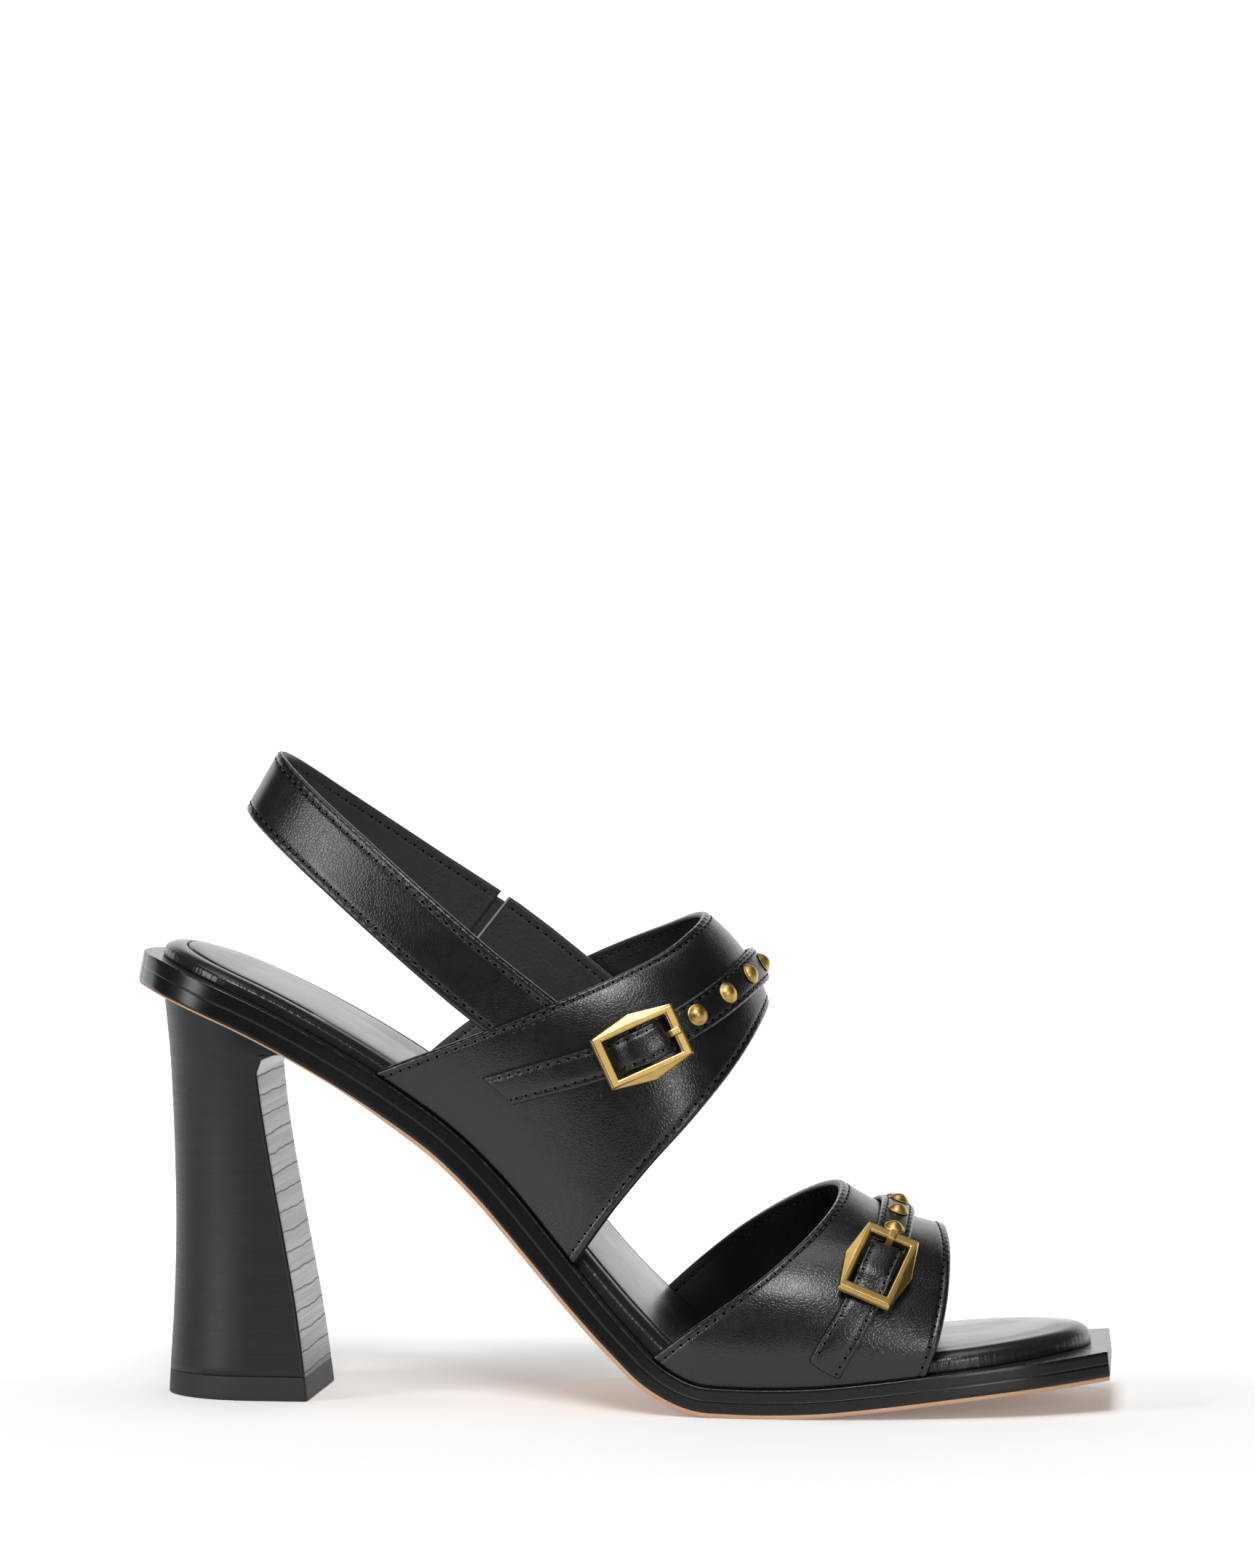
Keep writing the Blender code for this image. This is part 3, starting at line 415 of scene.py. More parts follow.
def on_sole(s, w, up, skewed=True):
    """Points from (s, w, up); the squared toe is cut a little slanting."""
    x, z = on_spine(s, up)
    turned = np.clip((s - TOE_SKEW_FROM) / (SPINE_LENGTH - TOE_SKEW_FROM), 0, 1) * TOE_SKEW * skewed
    outer = sole_sides(np.ravel(s))[:, 0].reshape(np.shape(s))
    return np.stack([x - turned * (w + outer), w, z], axis=-1)


def round_rings(name, even, out, at, rings, finishes, node, place_up, skewed=True, ends=(18.0, 14.0)):
    """A closed piece over an outline: rings pulled in by a distance, or drawn to the middle by a fraction.

    Each ring is (inset, fraction, up): points go in by inset, then from the middle line out by fraction, and
    place_up(s, w, up, inset) gives their height.
    """
    s_low = even[:, 0].min() + ends[0]
    s_high = even[:, 0].max() - ends[1]
    loops = []
    seams = []
    for inset, fraction, up in rings:
        moved = even - out * inset
        middle = np.stack([np.clip(moved[:, 0], s_low, s_high), 0 * at], axis=-1)
        where = middle + (moved - middle) * fraction
        loops.append(on_sole(where[:, 0], where[:, 1], place_up(where[:, 0], where[:, 1], up, inset), skewed))
        from_arris = inset + 60.0 * (1 - fraction) if up < 0.3 or up == 1.0 else -1.0
        seams.append(np.stack([at, np.full(len(at), from_arris)], axis=-1))
    loops = np.array(loops)
    faces = quads(len(rings), len(at), around=True)
    return piece(name, loops, faces, finishes, node, seam=np.concatenate(seams)), loops


turn = np.radians(np.linspace(1.5, 90, 60))
sole_s = np.unique(np.concatenate([
    SEAT_ROUND * (1 - np.cos(turn)), np.linspace(SEAT_ROUND, SPINE_LENGTH, 300),
]))
even, out, at = outline_of(sole_sides, sole_s, 900)

# Cut edges are never quite clean: nicks a few tenths deep at the toe's corners and at the back.
rng = np.random.default_rng(7)
nicks = np.convolve(rng.random(len(at)), np.ones(2) / 2, mode="same")
rough_zone = np.clip((even[:, 0] - (SPINE_LENGTH - 1.5)) / 1.0, 0, 1)
rough_zone = rough_zone + np.clip((3.0 - even[:, 0]) / 2.0, 0, 1)
cut_even = even - out * (0.30 * np.clip(nicks - 0.5, 0, 1) * rough_zone)[:, None] * 2


def edge_up(s, w, up, inset):
    """Height inside the black edge: up is from 0 at its top to 1 at its bottom."""
    return -up * sole_thick(s)


# Rings of the black edge: inset, fraction, up. The dip at 0.50 is the parting line.
EDGE_RINGS = (
    (1.2, 0.0, 0.0), (1.2, 0.35, 0.0), (1.2, 0.7, 0.0), (1.2, 0.92, 0.0), (1.2, 1.0, 0.0), (0.7, 1.0, 0.0),
    (0.35, 1.0, 0.0), (0.16, 1.0, 0.006), (0.05, 1.0, 0.022), (0.0, 1.0, 0.05), (0.0, 1.0, 0.16),
    (0.0, 1.0, 0.30), (0.0, 1.0, 0.42), (0.0, 1.0, 0.47), (0.05, 1.0, 0.488), (0.09, 1.0, 0.50),
    (0.05, 1.0, 0.512), (0.0, 1.0, 0.535), (0.0, 1.0, 0.60), (0.0, 1.0, 0.72), (0.0, 1.0, 0.86),
    (0.0, 1.0, 0.95), (0.06, 1.0, 0.978), (0.2, 1.0, 1.0), (1.2, 1.0, 1.0), (1.2, 0.6, 1.0), (1.2, 0.0, 1.0),
)
# Dyed edge: black with a satin from the burnishing wheel, brushed lengthwise. A pale line along the arris,
# broken in patches, is a painted highlight, and the top face is painted a lighter grey as a painted sheen.
edge, tree, shader = surface("dyed_sole_edge", "#0c0d0e", 0.40)
place = add(tree, "TexCoord", out="Object")
from_arris = add(tree, "SeparateXYZ", {0: add(tree, "UVMap", uv_map="seam")}, "Y")
speck = add(tree, "TexNoise", {"Vector": place, "Scale": 900.0, "Detail": 3.0})
brush = add(tree, "Mapping", {"Vector": place, "Scale": (60.0, 60.0, 1400.0)})
brushed = add(tree, "TexNoise", {"Vector": brush, "Scale": 1.0, "Detail": 3.0})
tone = add(tree, "Mix", {0: speck, 6: "#070708", 7: "#0b0c0d"}, 2, **COLOURS)
# Painted highlight: a pale line along the rounded arris, broken in patches, mixed a fifth of the way to pale
# grey.
inner = add(tree, "MapRange", {0: from_arris, 1: 0.0, 2: 0.04}, **EASED)
arris_highlight = add(tree, "MapRange", {0: from_arris, 1: 0.45, 2: 0.02}, **EASED)
arris_highlight = add(tree, "Math", {0: arris_highlight, 1: inner}, operation="MULTIPLY")
highlight_breaks = add(tree, "MapRange", {0: speck, 1: 0.45, 2: 0.62}, **EASED)
arris_highlight = add(tree, "Math", {0: arris_highlight, 1: highlight_breaks}, operation="MULTIPLY")
arris_highlight = add(tree, "Math", {0: arris_highlight, 1: 0.2}, operation="MULTIPLY")
tone = add(tree, "Mix", {0: arris_highlight, 6: tone, 7: "#6d6a66"}, 2, **COLOURS)
# Painted sheen: the top face, away from the arris, is mixed halfway to a lighter grey where it reflects light.
painted_top_sheen = add(tree, "MapRange", {0: from_arris, 1: 0.4, 2: 1.0, 4: 0.5}, **EASED)
relief = add(tree, "Math", {0: brushed, 1: 0.25, 2: speck}, operation="MULTIPLY_ADD")
wire(shader, {
    "Base Color": add(tree, "Mix", {0: painted_top_sheen, 6: tone, 7: "#3c3a39"}, 2, **COLOURS),
    "Roughness": add(tree, "MapRange", {0: speck, 1: 0.3, 2: 0.7, 3: 0.27, 4: 0.29}, **EASED),
    "Specular IOR Level": 0.40,
    "Normal": add(tree, "Bump", {"Height": relief, "Strength": 0.02, "Distance": 0.00005}),
})
round_rings("sole_edge", cut_even, out, at, EDGE_RINGS, [edge], "midsole", edge_up)

# Tan bottom: a resin rubber sheet, smooth and waxed, its cut edge the same tan.
tan, tree, shader = surface("tan_bottom_sheet", "#b98f6f", 0.48)
place = add(tree, "TexCoord", out="Object")
cloud = add(tree, "TexNoise", {"Vector": place, "Scale": 90.0, "Detail": 5.0})
scuff = add(tree, "TexNoise", {"Vector": place, "Scale": 1500.0, "Detail": 2.0})
wire(shader, {
    "Base Color": add(tree, "Mix", {0: cloud, 6: "#a67c5c", 7: "#c39c7c"}, 2, **COLOURS),
    "Normal": add(tree, "Bump", {"Height": scuff, "Strength": 0.2, "Distance": 0.00008}),
})


def bottom_up(s, w, up, inset):
    """Height inside the tan sheet, from the black edge's underside down."""
    return -sole_thick(s) - 0.02 - up * (bottom_thick(s) + 0.1 * np.clip((s - 58.0) / 20.0, 0, 1))


BOTTOM_RINGS = (
    (0.3, 0.0, 0.0), (0.3, 0.6, 0.0), (0.3, 1.0, 0.0), (0.2, 1.0, 0.05), (0.2, 1.0, 0.5), (0.2, 1.0, 0.85),
    (0.32, 1.0, 0.96), (0.6, 1.0, 1.0), (1.5, 1.0, 1.0), (1.5, 0.6, 1.0), (1.5, 0.0, 1.0),
)
bottom, _ = round_rings("tan_bottom", even, out, at, BOTTOM_RINGS, [tan], "outsole", bottom_up)
heights = np.empty(len(bottom.data.vertices) * 3, np.float32)
bottom.data.vertices.foreach_get("co", heights)
heights[2::3] = np.maximum(heights[2::3], 0.0)
bottom.data.vertices.foreach_set("co", heights)

# Footbed: board and thin foam under black leather wrapped over its rounded edge, with a stitched channel
# 4.6 mm in. It is padded, and its dome is worked out rather than simulated because it is glued down flat.

PAD_OUTLINE = np.array((
    (4.6, 25.2, 22.7), (29.0, 25.2, 22.7), (46.0, 24.6, 21.8), (69.0, 23.2, 20.3), (95.0, 23.6, 20.5),
    (125.0, 27.8, 25.2), (154.0, 32.4, 31.6), (176.0, 34.2, 34.8), (196.0, 34.2, 35.8), (216.0, 32.0, 34.2),
    (231.0, 29.2, 31.6), (244.0, 26.0, 29.0), (252.8, 23.0, 27.0),
))
PAD_SEAT_ROUND = 22.0
PAD_TOE_ROUND = 30.0
PAD_HEIGHT_SEAT = 3.4
PAD_HEIGHT_TOE = 4.6
PAD_DOME = 1.0
PAD_CLEAR = 0.05
SHOULDER = 3.2
CHANNEL = 4.6
CHANNEL_END = 44.0


def pad_sides(s):
    """Outer and inner half widths of the footbed, rounded at the seat and at the toe."""
    wide = read_curve(PAD_OUTLINE[:, 0], PAD_OUTLINE[:, 1:], s)
    back = rounded(s - PAD_OUTLINE[0, 0], PAD_SEAT_ROUND)
    front = rounded(PAD_OUTLINE[-1, 0] - s, PAD_TOE_ROUND)
    return wide * (back * front)[:, None]


def pad_up(s, w, up, inset):
    """Height of the cover: a rounded shoulder, a stitched channel, two creases on the outer side, a low dome.

    up is below 1 only on the wrapped wall. The shoulder is a quarter round over SHOULDER, the channel and the
    creases are narrow dips of Gauss's curve, and the dome is one less the square of the place across. On the
    inner side the cover rises by up to 1.5 mm to carry the foot's arch.
    """
    blend = np.clip((s - SOLE_THIN_FROM) / (SOLE_THIN_TO - SOLE_THIN_FROM), 0, 1)
    tall = PAD_HEIGHT_SEAT + (PAD_HEIGHT_TOE - PAD_HEIGHT_SEAT) * blend
    f = np.clip(inset / SHOULDER, 0, 1)
    shoulder = 0.45 + 0.55 * np.sqrt(1 - (1 - f) ** 2)
    outer, inner = pad_sides(np.clip(s, 6.0, 251.0)).T
    across = np.where(w < 0, -w / np.maximum(outer, 1), w / np.maximum(inner, 1))
    dome = PAD_DOME * np.clip(1 - across**2, 0, 1) * np.clip((inset - 1.0) / 6, 0, 1)
    forward = np.clip((s - 185.0) / 20.0, 0, 1)
    channel = 0.42 * np.exp(-(((inset - CHANNEL) / 0.42) ** 2)) * (1 - forward)
    channel = channel * np.where((w < 0) & (s > CHANNEL_END) & (s < 118.0), 0.25, 1.0)
    crease = 0.16 * np.exp(-(((inset - 3.3) / 0.16) ** 2)) + 0.16 * np.exp(-(((inset - 3.85) / 0.16) ** 2))
    crease = crease * np.clip((s - CHANNEL_END) / 6, 0, 1) * (w < 0) * (1 - forward)
    soft = 0.05 * np.sin(s / 7.3 + w / 9.0) * np.sin(w / 6.1) * np.clip((inset - 5) / 4, 0, 1)
    arch = 1.5 * np.clip((s - 25.0) / 40, 0, 1) * np.clip((135.0 - s) / 35, 0, 1)
    arch = arch * np.clip((across - 0.2) / 0.8, 0, 1) * (w > 0)
    cover = tall * shoulder + dome - channel - crease + soft + arch
    return np.where(up < 1, up * (0.45 * tall + arch), cover) + PAD_CLEAR


pad_s = np.unique(np.concatenate([
    PAD_OUTLINE[0, 0] + PAD_SEAT_ROUND * (1 - np.cos(turn)), np.linspace(27.0, 222.0, 200),
    PAD_OUTLINE[-1, 0] - PAD_TOE_ROUND * (1 - np.cos(turn)),
]))
pad_even, pad_out, pad_at = outline_of(pad_sides, pad_s, 860)
PAD_WALL = (
    (0.6, 0.0, 0.0), (0.6, 0.5, 0.0), (0.6, 1.0, 0.0), (0.12, 1.0, 0.02), (0.0, 1.0, 0.12), (-0.02, 1.0, 0.35),
    (0.0, 1.0, 0.7),
)
PAD_INSETS = (
    0.0, 0.06, 0.16, 0.32, 0.55, 0.85, 1.2, 1.6, 2.0, 2.4, 2.8, 3.0, 3.15, 3.3, 3.45, 3.6, 3.72, 3.85, 3.98,
    4.15, 4.3, 4.45, CHANNEL, 4.75, 4.9, 5.1, 5.4, 5.8, 6.4, 7.2,
)
PAD_FRACTIONS = (0.95, 0.9, 0.84, 0.78, 0.7, 0.62, 0.54, 0.45, 0.36, 0.27, 0.18, 0.09, 0.0)
pad_rings = list(PAD_WALL)
pad_rings += [(inset, 1.0, 1.0) for inset in PAD_INSETS]
pad_rings += [(PAD_INSETS[-1], fraction, 1.0) for fraction in PAD_FRACTIONS]

# Footbed leather: black, with a waxed grey bloom where it lies flat, fine pores, and small pleats where it is
# wrapped over the edge.
sock, tree, shader = surface("footbed_leather", "#1d1d1f", 0.30)
place = add(tree, "TexCoord", out="Object")
seam_map = add(tree, "UVMap", uv_map="seam")
from_wall = add(tree, "SeparateXYZ", {0: seam_map}, "Y")
pore = add(tree, "TexVoronoi", {"Vector": place, "Scale": 1500.0}, feature="DISTANCE_TO_EDGE")
pores = add(tree, "MapRange", {0: pore, 1: 0.0, 2: 0.25}, **EASED)
cloud = add(tree, "TexNoise", {"Vector": place, "Scale": 60.0, "Detail": 4.0})
pleat = add(tree, "Mapping", {"Vector": seam_map, "Scale": (0.55, 0.12, 1.0)})
pleat = add(tree, "TexNoise", {"Vector": pleat, "Scale": 1.0, "Detail": 3.0})
on_wall = add(tree, "MapRange", {0: from_wall, 1: 0.8, 2: 0.0}, **EASED)
pleats = add(tree, "Math", {0: pleat, 1: on_wall}, operation="MULTIPLY")
fine = add(tree, "Bump", {"Height": pores, "Strength": 0.08, "Distance": 0.00008})
wire(shader, {
    "Base Color": add(tree, "Mix", {0: cloud, 6: "#161617", 7: "#252527"}, 2, **COLOURS),
    "Roughness": add(tree, "MapRange", {0: cloud, 1: 0.3, 2: 0.7, 3: 0.23, 4: 0.29}, **EASED),
    "Normal": add(tree, "Bump", {"Height": pleats, "Strength": 0.5, "Distance": 0.0005, "Normal": fine}),
})
footbed, pad_loops = round_rings(
    "footbed", pad_even, pad_out, pad_at, pad_rings, [sock], "insole", pad_up, skewed=False, ends=(24.0, 30.0)
)

STITCH = 2.45
STITCH_LONG = 1.5


def threads(name, rows, length, node, wide=0.42, proud=0.08, pitch=STITCH, hole=0.30):
    """Stitches as short rounded bars, their ends dipping in, each after a needle hole: a disc of painted
    shade.

    A row gives its stitches' middles, directions and outward normals.
    """
    centre, along, out = [np.concatenate(part) for part in zip(*rows)]
    f = np.linspace(-1, 1, 6)
    turn = circle(6)
    thick = wide / 2 * np.sqrt(np.clip(1 - f**4, 0.02, 1))
    dip = proud * (1 - 2.4 * f**2)
    local = np.stack([
        np.broadcast_to((f * length / 2)[:, None], (6, 6)), thick[:, None] * np.cos(turn),
        dip[:, None] + thick[:, None] * np.sin(turn) * 0.8,
    ], axis=-1).reshape(-1, 3)
    side = unit(np.cross(out, along))
    points = centre[:, None] + local[None, :, :1] * along[:, None] + local[None, :, 1:2] * side[:, None]
    points = points + local[None, :, 2:] * out[:, None]
    caps = np.array([[0, 5, 4, 3], [0, 3, 2, 1], [30, 31, 32, 33], [30, 33, 34, 35]])
    faces = np.concatenate([quads(6, 6, around=True), caps])
    faces = (faces[None] + 36 * np.arange(len(centre))[:, None, None]).reshape(-1, 4)
    turn = circle(8)
    middle = centre - along * pitch / 2 + out * 0.05
    spokes = np.cos(turn)[:, None] * along[:, None] + np.sin(turn)[:, None] * side[:, None]
    discs = middle[:, None] + hole * spokes
    rim = np.array([[0, 1, 2, 3], [0, 3, 4, 7], [4, 5, 6, 7]])
    holes = (rim[None] + 8 * np.arange(len(centre))[:, None, None]).reshape(-1, 4) + 36 * len(centre)
    kinds = np.repeat([0, 1], [len(faces), len(holes)])
    points = np.concatenate([points.reshape(-1, 3), discs.reshape(-1, 3)])
    return piece(name, points, np.concatenate([faces, holes]), [thread, hole_shade], node, face_finish=kinds)


# Bonded thread: twisted polyester, waxed, black, with lighter bands along its plies that paint a small
# highlight on each stitch.
thread, tree, shader = surface("waxed_thread", "#141416", 0.42)
place = add(tree, "TexCoord", out="Object")
twist_and_highlight = add(tree, "TexWave", {"Vector": place, "Scale": 900.0}, "Fac", bands_direction="DIAGONAL")
# Painted highlight: the bands along the plies are mixed to a lighter grey; the same bands give the bump.
wire(shader, {
    "Base Color": add(tree, "Mix", {0: twist_and_highlight, 6: "#0c0c0d", 7: "#232326"}, 2, **COLOURS),
    "Normal": add(tree, "Bump", {"Height": twist_and_highlight, "Strength": 0.5, "Distance": 0.00008}),
})

# Needle hole: a flat black disc laid on the surface, painted shade standing for the hole; it sends no light
# back.
hole_shade, tree, shader = surface("needle_hole_painted_shade", "#010101", 1.0)
wire(shader, {"Specular IOR Level": 0.0})


def spaced(line, out, pitch=STITCH):
    """Points every pitch along a line, half a pitch in, with the line's directions and outward normals."""
    run = run_along(line)
    at = np.arange(pitch / 2, run[-1], pitch)
    read = [read_rows(at + d, run, line) for d in (-0.3, 0.0, 0.3)]
    return read[1], unit(read[2] - read[0]), unit(read_rows(at, run, out))


ring = len(PAD_WALL) + PAD_INSETS.index(CHANNEL)
line = np.concatenate([pad_loops[ring], pad_loops[ring][:1]])
uphill = [np.interp(line[:, 0], spine_fine[:, 0], spine_tangent[:, k]) for k in (0, 1)]
centre, along, out_of = spaced(line, np.stack([-uphill[1], 0 * uphill[0], uphill[0]], axis=-1))
near_s = np.interp(centre[:, 0], spine_fine[:, 0], spine_run)
keep = (near_s < 185.0) & ~((centre[:, 1] < 0) & (near_s > CHANNEL_END) & (near_s < 118.0))
threads("footbed_stitches", [(centre[keep], along[keep], out_of[keep])], 1.75, "insole", wide=0.5, proud=0.12)

# Vamp band: two layers of calf leather, 2 mm in all, lasted over the toes and stitched 2 mm from both cut
# edges. The edges are folded in, so they are round and show no raw side.

# The band's rear edge, middle and front edge: x, y and z, from the outer side over the foot to the inner side.
VAMP_REAR = (
    (9.6, -35.0, 13.8), (15.6, -37.2, 18.2), (24.0, -37.5, 24.0), (32.0, -36.4, 29.8), (39.6, -31.5, 36.2),
    (46.0, -21.5, 42.6), (49.3, -9.0, 47.4), (48.9, 4.0, 50.0), (44.0, 15.4, 48.8), (35.5, 24.8, 44.6),
    (25.0, 32.0, 38.0), (14.0, 35.8, 29.8), (2.6, 34.0, 20.6),
)
VAMP_MIDDLE = (
    (41.2, -37.2, 7.6), (44.6, -39.2, 14.0), (49.4, -38.8, 21.0), (54.0, -35.8, 28.0), (58.0, -29.4, 34.6),
    (60.6, -20.0, 39.6), (61.4, -9.0, 42.6), (60.8, 4.0, 43.6), (57.8, 16.0, 41.8), (52.0, 27.0, 36.8),
    (45.0, 35.0, 28.6), (39.0, 39.2, 18.6), (34.0, 38.2, 7.4),
)
VAMP_FRONT = (
    (72.8, -34.9, 10.8), (74.6, -35.0, 16.6), (75.8, -32.2, 22.8), (76.3, -27.4, 28.6), (76.2, -20.6, 33.2),
    (75.6, -12.8, 36.6), (74.4, -4.4, 39.0), (73.0, 4.0, 40.0), (71.2, 15.0, 38.6), (68.8, 25.4, 33.8),
    (66.8, 33.4, 25.8), (65.8, 37.6, 16.6), (65.4, 37.4, 9.6),
)
# Where its two feet stand on the sole: distances from the back of their rear and front corners.
VAMP_FEET = ((153.8, 218.2), (144.6, 211.0))
BAND_THICK = 2.0
BAND_INSET = 1.1
FOOT_FADE = 0.18
SEAM_IN = 2.0
SECOND_SEAM = 4.0
EDGE_STEPS = np.array((
    0, 0.04, 0.12, 0.25, 0.42, 0.65, 0.95, 1.3, 1.6, 1.8, 2.0, 2.2, 2.45, 2.8, 3.4, 4.0, 4.8,
))


def band_points(band, u, v):
    """Points of a band at pairs of u, across the foot, and v, from its rear edge to its front edge.

    The band's three lines are joined by a parabola in v. Its two ends are moved onto the sole just inside the
    edge, an effect that fades out by FOOT_FADE of the way up.
    """
    lines, feet = band
    at = [at_fraction(line, u) for line in lines]
    weights = (2 * (v - 0.5) * (v - 1), 4 * v * (1 - v), 2 * v * (v - 0.5))
    points = sum(w[:, None] * line for w, line in zip(weights, at))
    for foot, sign, end, away in ((feet[0], -1, 0.0, u), (feet[1], 1, 1.0, 1 - u)):
        s = foot[0] + (foot[1] - foot[0]) * v
        side = sole_sides(s)[:, 0 if sign < 0 else 1] - BAND_INSET
        x, z = on_spine(s, GAP)
        ends = sum(w[:, None] * at_fraction(line, [end]) for w, line in zip(weights, lines))
        off = np.stack([x, sign * side, z], axis=-1) - ends
        points = points + (np.clip(1 - away / FOOT_FADE, 0, 1) ** 1.5)[:, None] * off
    return points


def band_frame(band, u, v, step=0.004):
    """Points, slopes by u and by v, and outward normals of a band at pairs of u and v."""
    u = np.clip(np.asarray(u, float), step, 1 - step)
    v = np.asarray(v, float)
    by_u = (band_points(band, u + step, v) - band_points(band, u - step, v)) / (2 * step)
    by_v = (band_points(band, u, v + step) - band_points(band, u, v - step)) / (2 * step)
    n = np.cross(by_v, by_u)
    return band_points(band, u, v), by_u, by_v, unit(n)


def columns_across(width, middle):
    """Distances from the first edge, close together near both edges: one row of columns for each width."""
    squeeze = np.minimum(1, width / (EDGE_STEPS[-1] * 2.4))
    near = EDGE_STEPS[None, :] * squeeze[:, None]
    f = np.linspace(0, 1, middle + 2)[1:-1]
    centre = near[:, -1:] + (width[:, None] - 2 * near[:, -1:]) * f
    return np.concatenate([near, centre, width[:, None] - near[:, ::-1]], axis=1)


def leather_sheet(name, face, out, away, width, thick, node, seam_in=SEAM_IN, round_out=0.9):
    """A closed sheet from its face: rounded edges, a stitch trough, the lining side a wall's thickness in.

    At a distance d from the nearer edge the face drops by round_out times one less a quarter circle, and by a
    narrow Gauss trough at seam_in; the lining side does the same with a smaller round.
    """
    d = np.minimum(away, width[:, None] - away)
    f = np.clip(d / round_out, 0, 1)
    drop = round_out * (1 - np.sqrt(1 - (1 - f) ** 2))
    trough = 0.16 * np.exp(-(((d - seam_in) / 0.42) ** 2))
    g = np.clip(d / 0.5, 0, 1)
    lift = 0.5 * (1 - np.sqrt(1 - (1 - g) ** 2))
    top = face - out * (drop + trough)[..., None]
    low = face - out * (thick - lift - 0.5 * trough)[..., None]
    rows, columns = d.shape
    count = rows * columns
    faces = [quads(rows, columns), quads(rows, columns, start=count)]
    kinds = [np.zeros(len(faces[0]), int), np.ones(len(faces[1]), int)]
    grid = np.arange(count).reshape(rows, columns)
    for border in (grid[:, 0], grid[:, -1], grid[0], grid[-1]):
        strip = np.stack([border[:-1], border[1:], border[1:] + count, border[:-1] + count], axis=-1)
        faces.append(strip)
        kinds.append(np.full(len(strip), 2))
    seam_column = int(np.argmin(np.abs(away[0] - seam_in)))
    runs = [run_along(face[:, column])[:, None] for column in (seam_column, columns - 1 - seam_column)]
    seam = np.stack([np.where(away < width[:, None] / 2, *runs), d], axis=-1).reshape(-1, 2)
    return piece(
        name, np.stack([top, low]), np.concatenate(faces), leather, node, face_finish=np.concatenate(kinds),
        seam=np.concatenate([seam, seam]),
    )


def sheet_seam(sheet, away_at, span=(0.0, 1.0), lining_thick=0.0, pitch=STITCH):
    """Stitches along a sheet, away_at from its first edge, or from its last if negative, over a span."""
    face, out, away = sheet
    columns = away.shape[1]
    column = int(np.argmin(np.abs(away[0] - abs(away_at))))
    column = column if away_at > 0 else columns - 1 - column
    first, last = int(span[0] * (len(face) - 1)), int(span[1] * (len(face) - 1)) + 1
    line = face[first:last, column]
    normal = out[first:last, column]
    if lining_thick:
        return spaced(line - normal * (lining_thick - 0.1), -normal, pitch)
    return spaced(line - normal * 0.14, normal, pitch)


def band_sheet(name, band, rows, middle, node):
    """A band as a leather sheet, its columns set by distance along each row's own width."""
    u = np.linspace(0, 1, rows)
    v = np.linspace(0, 1, 61)
    uu, vv = np.meshgrid(u, v, indexing="ij")
    rough_grid = band_points(band, uu.ravel(), vv.ravel()).reshape(rows, 61, 3)
    run = np.cumsum(np.linalg.norm(np.diff(rough_grid, axis=1), axis=2), axis=1)
    run = np.concatenate([np.zeros((rows, 1)), run], axis=1)
    away = columns_across(run[:, -1], middle)
    v_at = np.stack([np.interp(away[k], run[k], v) for k in range(rows)])
    face = band_points(band, np.repeat(u, away.shape[1]), v_at.ravel()).reshape(rows, -1, 3)
    out = unit(np.cross(np.gradient(face, axis=1), np.gradient(face, axis=0)))
    for end, way in ((0, -1.0), (-1, 1.0)):
        out[end] = (0.0, way, 0.0)
        face[end, :, 2] -= 0.25
    leather_sheet(name, face, out, away, run[:, -1], BAND_THICK, node)
    return face, out, away


# Calf leather, glazed: near black, a satin glaze over fine creased grain about 0.7 mm wide, broad soft waves,
# small puckers across the folded edge where each stitch draws it in.
calf, tree, shader = surface("glazed_calf_leather", "#0d0d0f", 0.30, coat=0.2, coat_rough=0.15)
place = add(tree, "TexCoord", out="Object")
seam_map = add(tree, "UVMap", uv_map="seam")
stray = add(tree, "TexNoise", {"Vector": place, "Scale": 500.0, "Detail": 2.0}, "Color")
bent = add(tree, "Mix", {0: 0.0006, 4: place, 5: stray}, 1, data_type="VECTOR")
grain = add(tree, "TexVoronoi", {"Vector": bent, "Scale": 1300.0}, feature="DISTANCE_TO_EDGE")
grains = add(tree, "MapRange", {0: grain, 1: 0.0, 2: 0.22}, **EASED)
wave = add(tree, "TexNoise", {"Vector": place, "Scale": 70.0, "Detail": 1.5})
cloud = add(tree, "TexNoise", {"Vector": place, "Scale": 260.0, "Detail": 5.0})
cycle = add(tree, "SeparateXYZ", {0: seam_map}, "X")
cycle = add(tree, "Math", {0: cycle, 1: 1 / STITCH}, operation="MULTIPLY")
cycle = add(tree, "Math", {0: cycle, 1: 2 * math.pi}, operation="MULTIPLY")
cycle = add(tree, "Math", {0: cycle}, operation="COSINE")
from_edge = add(tree, "SeparateXYZ", {0: seam_map}, "Y")
near_edge = add(tree, "MapRange", {0: from_edge, 1: 2.3, 2: 0.9}, **EASED)
pucker = add(tree, "Math", {0: cycle, 1: near_edge}, operation="MULTIPLY")
broad = add(tree, "Math", {0: pucker, 1: 0.12, 2: wave}, operation="MULTIPLY_ADD")
fine = add(tree, "Bump", {"Height": grains, "Strength": 0.22, "Distance": 0.00009})
wire(shader, {
    "Base Color": add(tree, "Mix", {0: cloud, 6: "#0c0c0d", 7: "#111113"}, 2, **COLOURS),
    "Roughness": add(tree, "MapRange", {0: cloud, 1: 0.3, 2: 0.7, 3: 0.28, 4: 0.33}, **EASED),
    "Normal": add(tree, "Bump", {"Height": broad, "Strength": 0.5, "Distance": 0.0005, "Normal": fine}),
    "Coat Normal": fine,
})

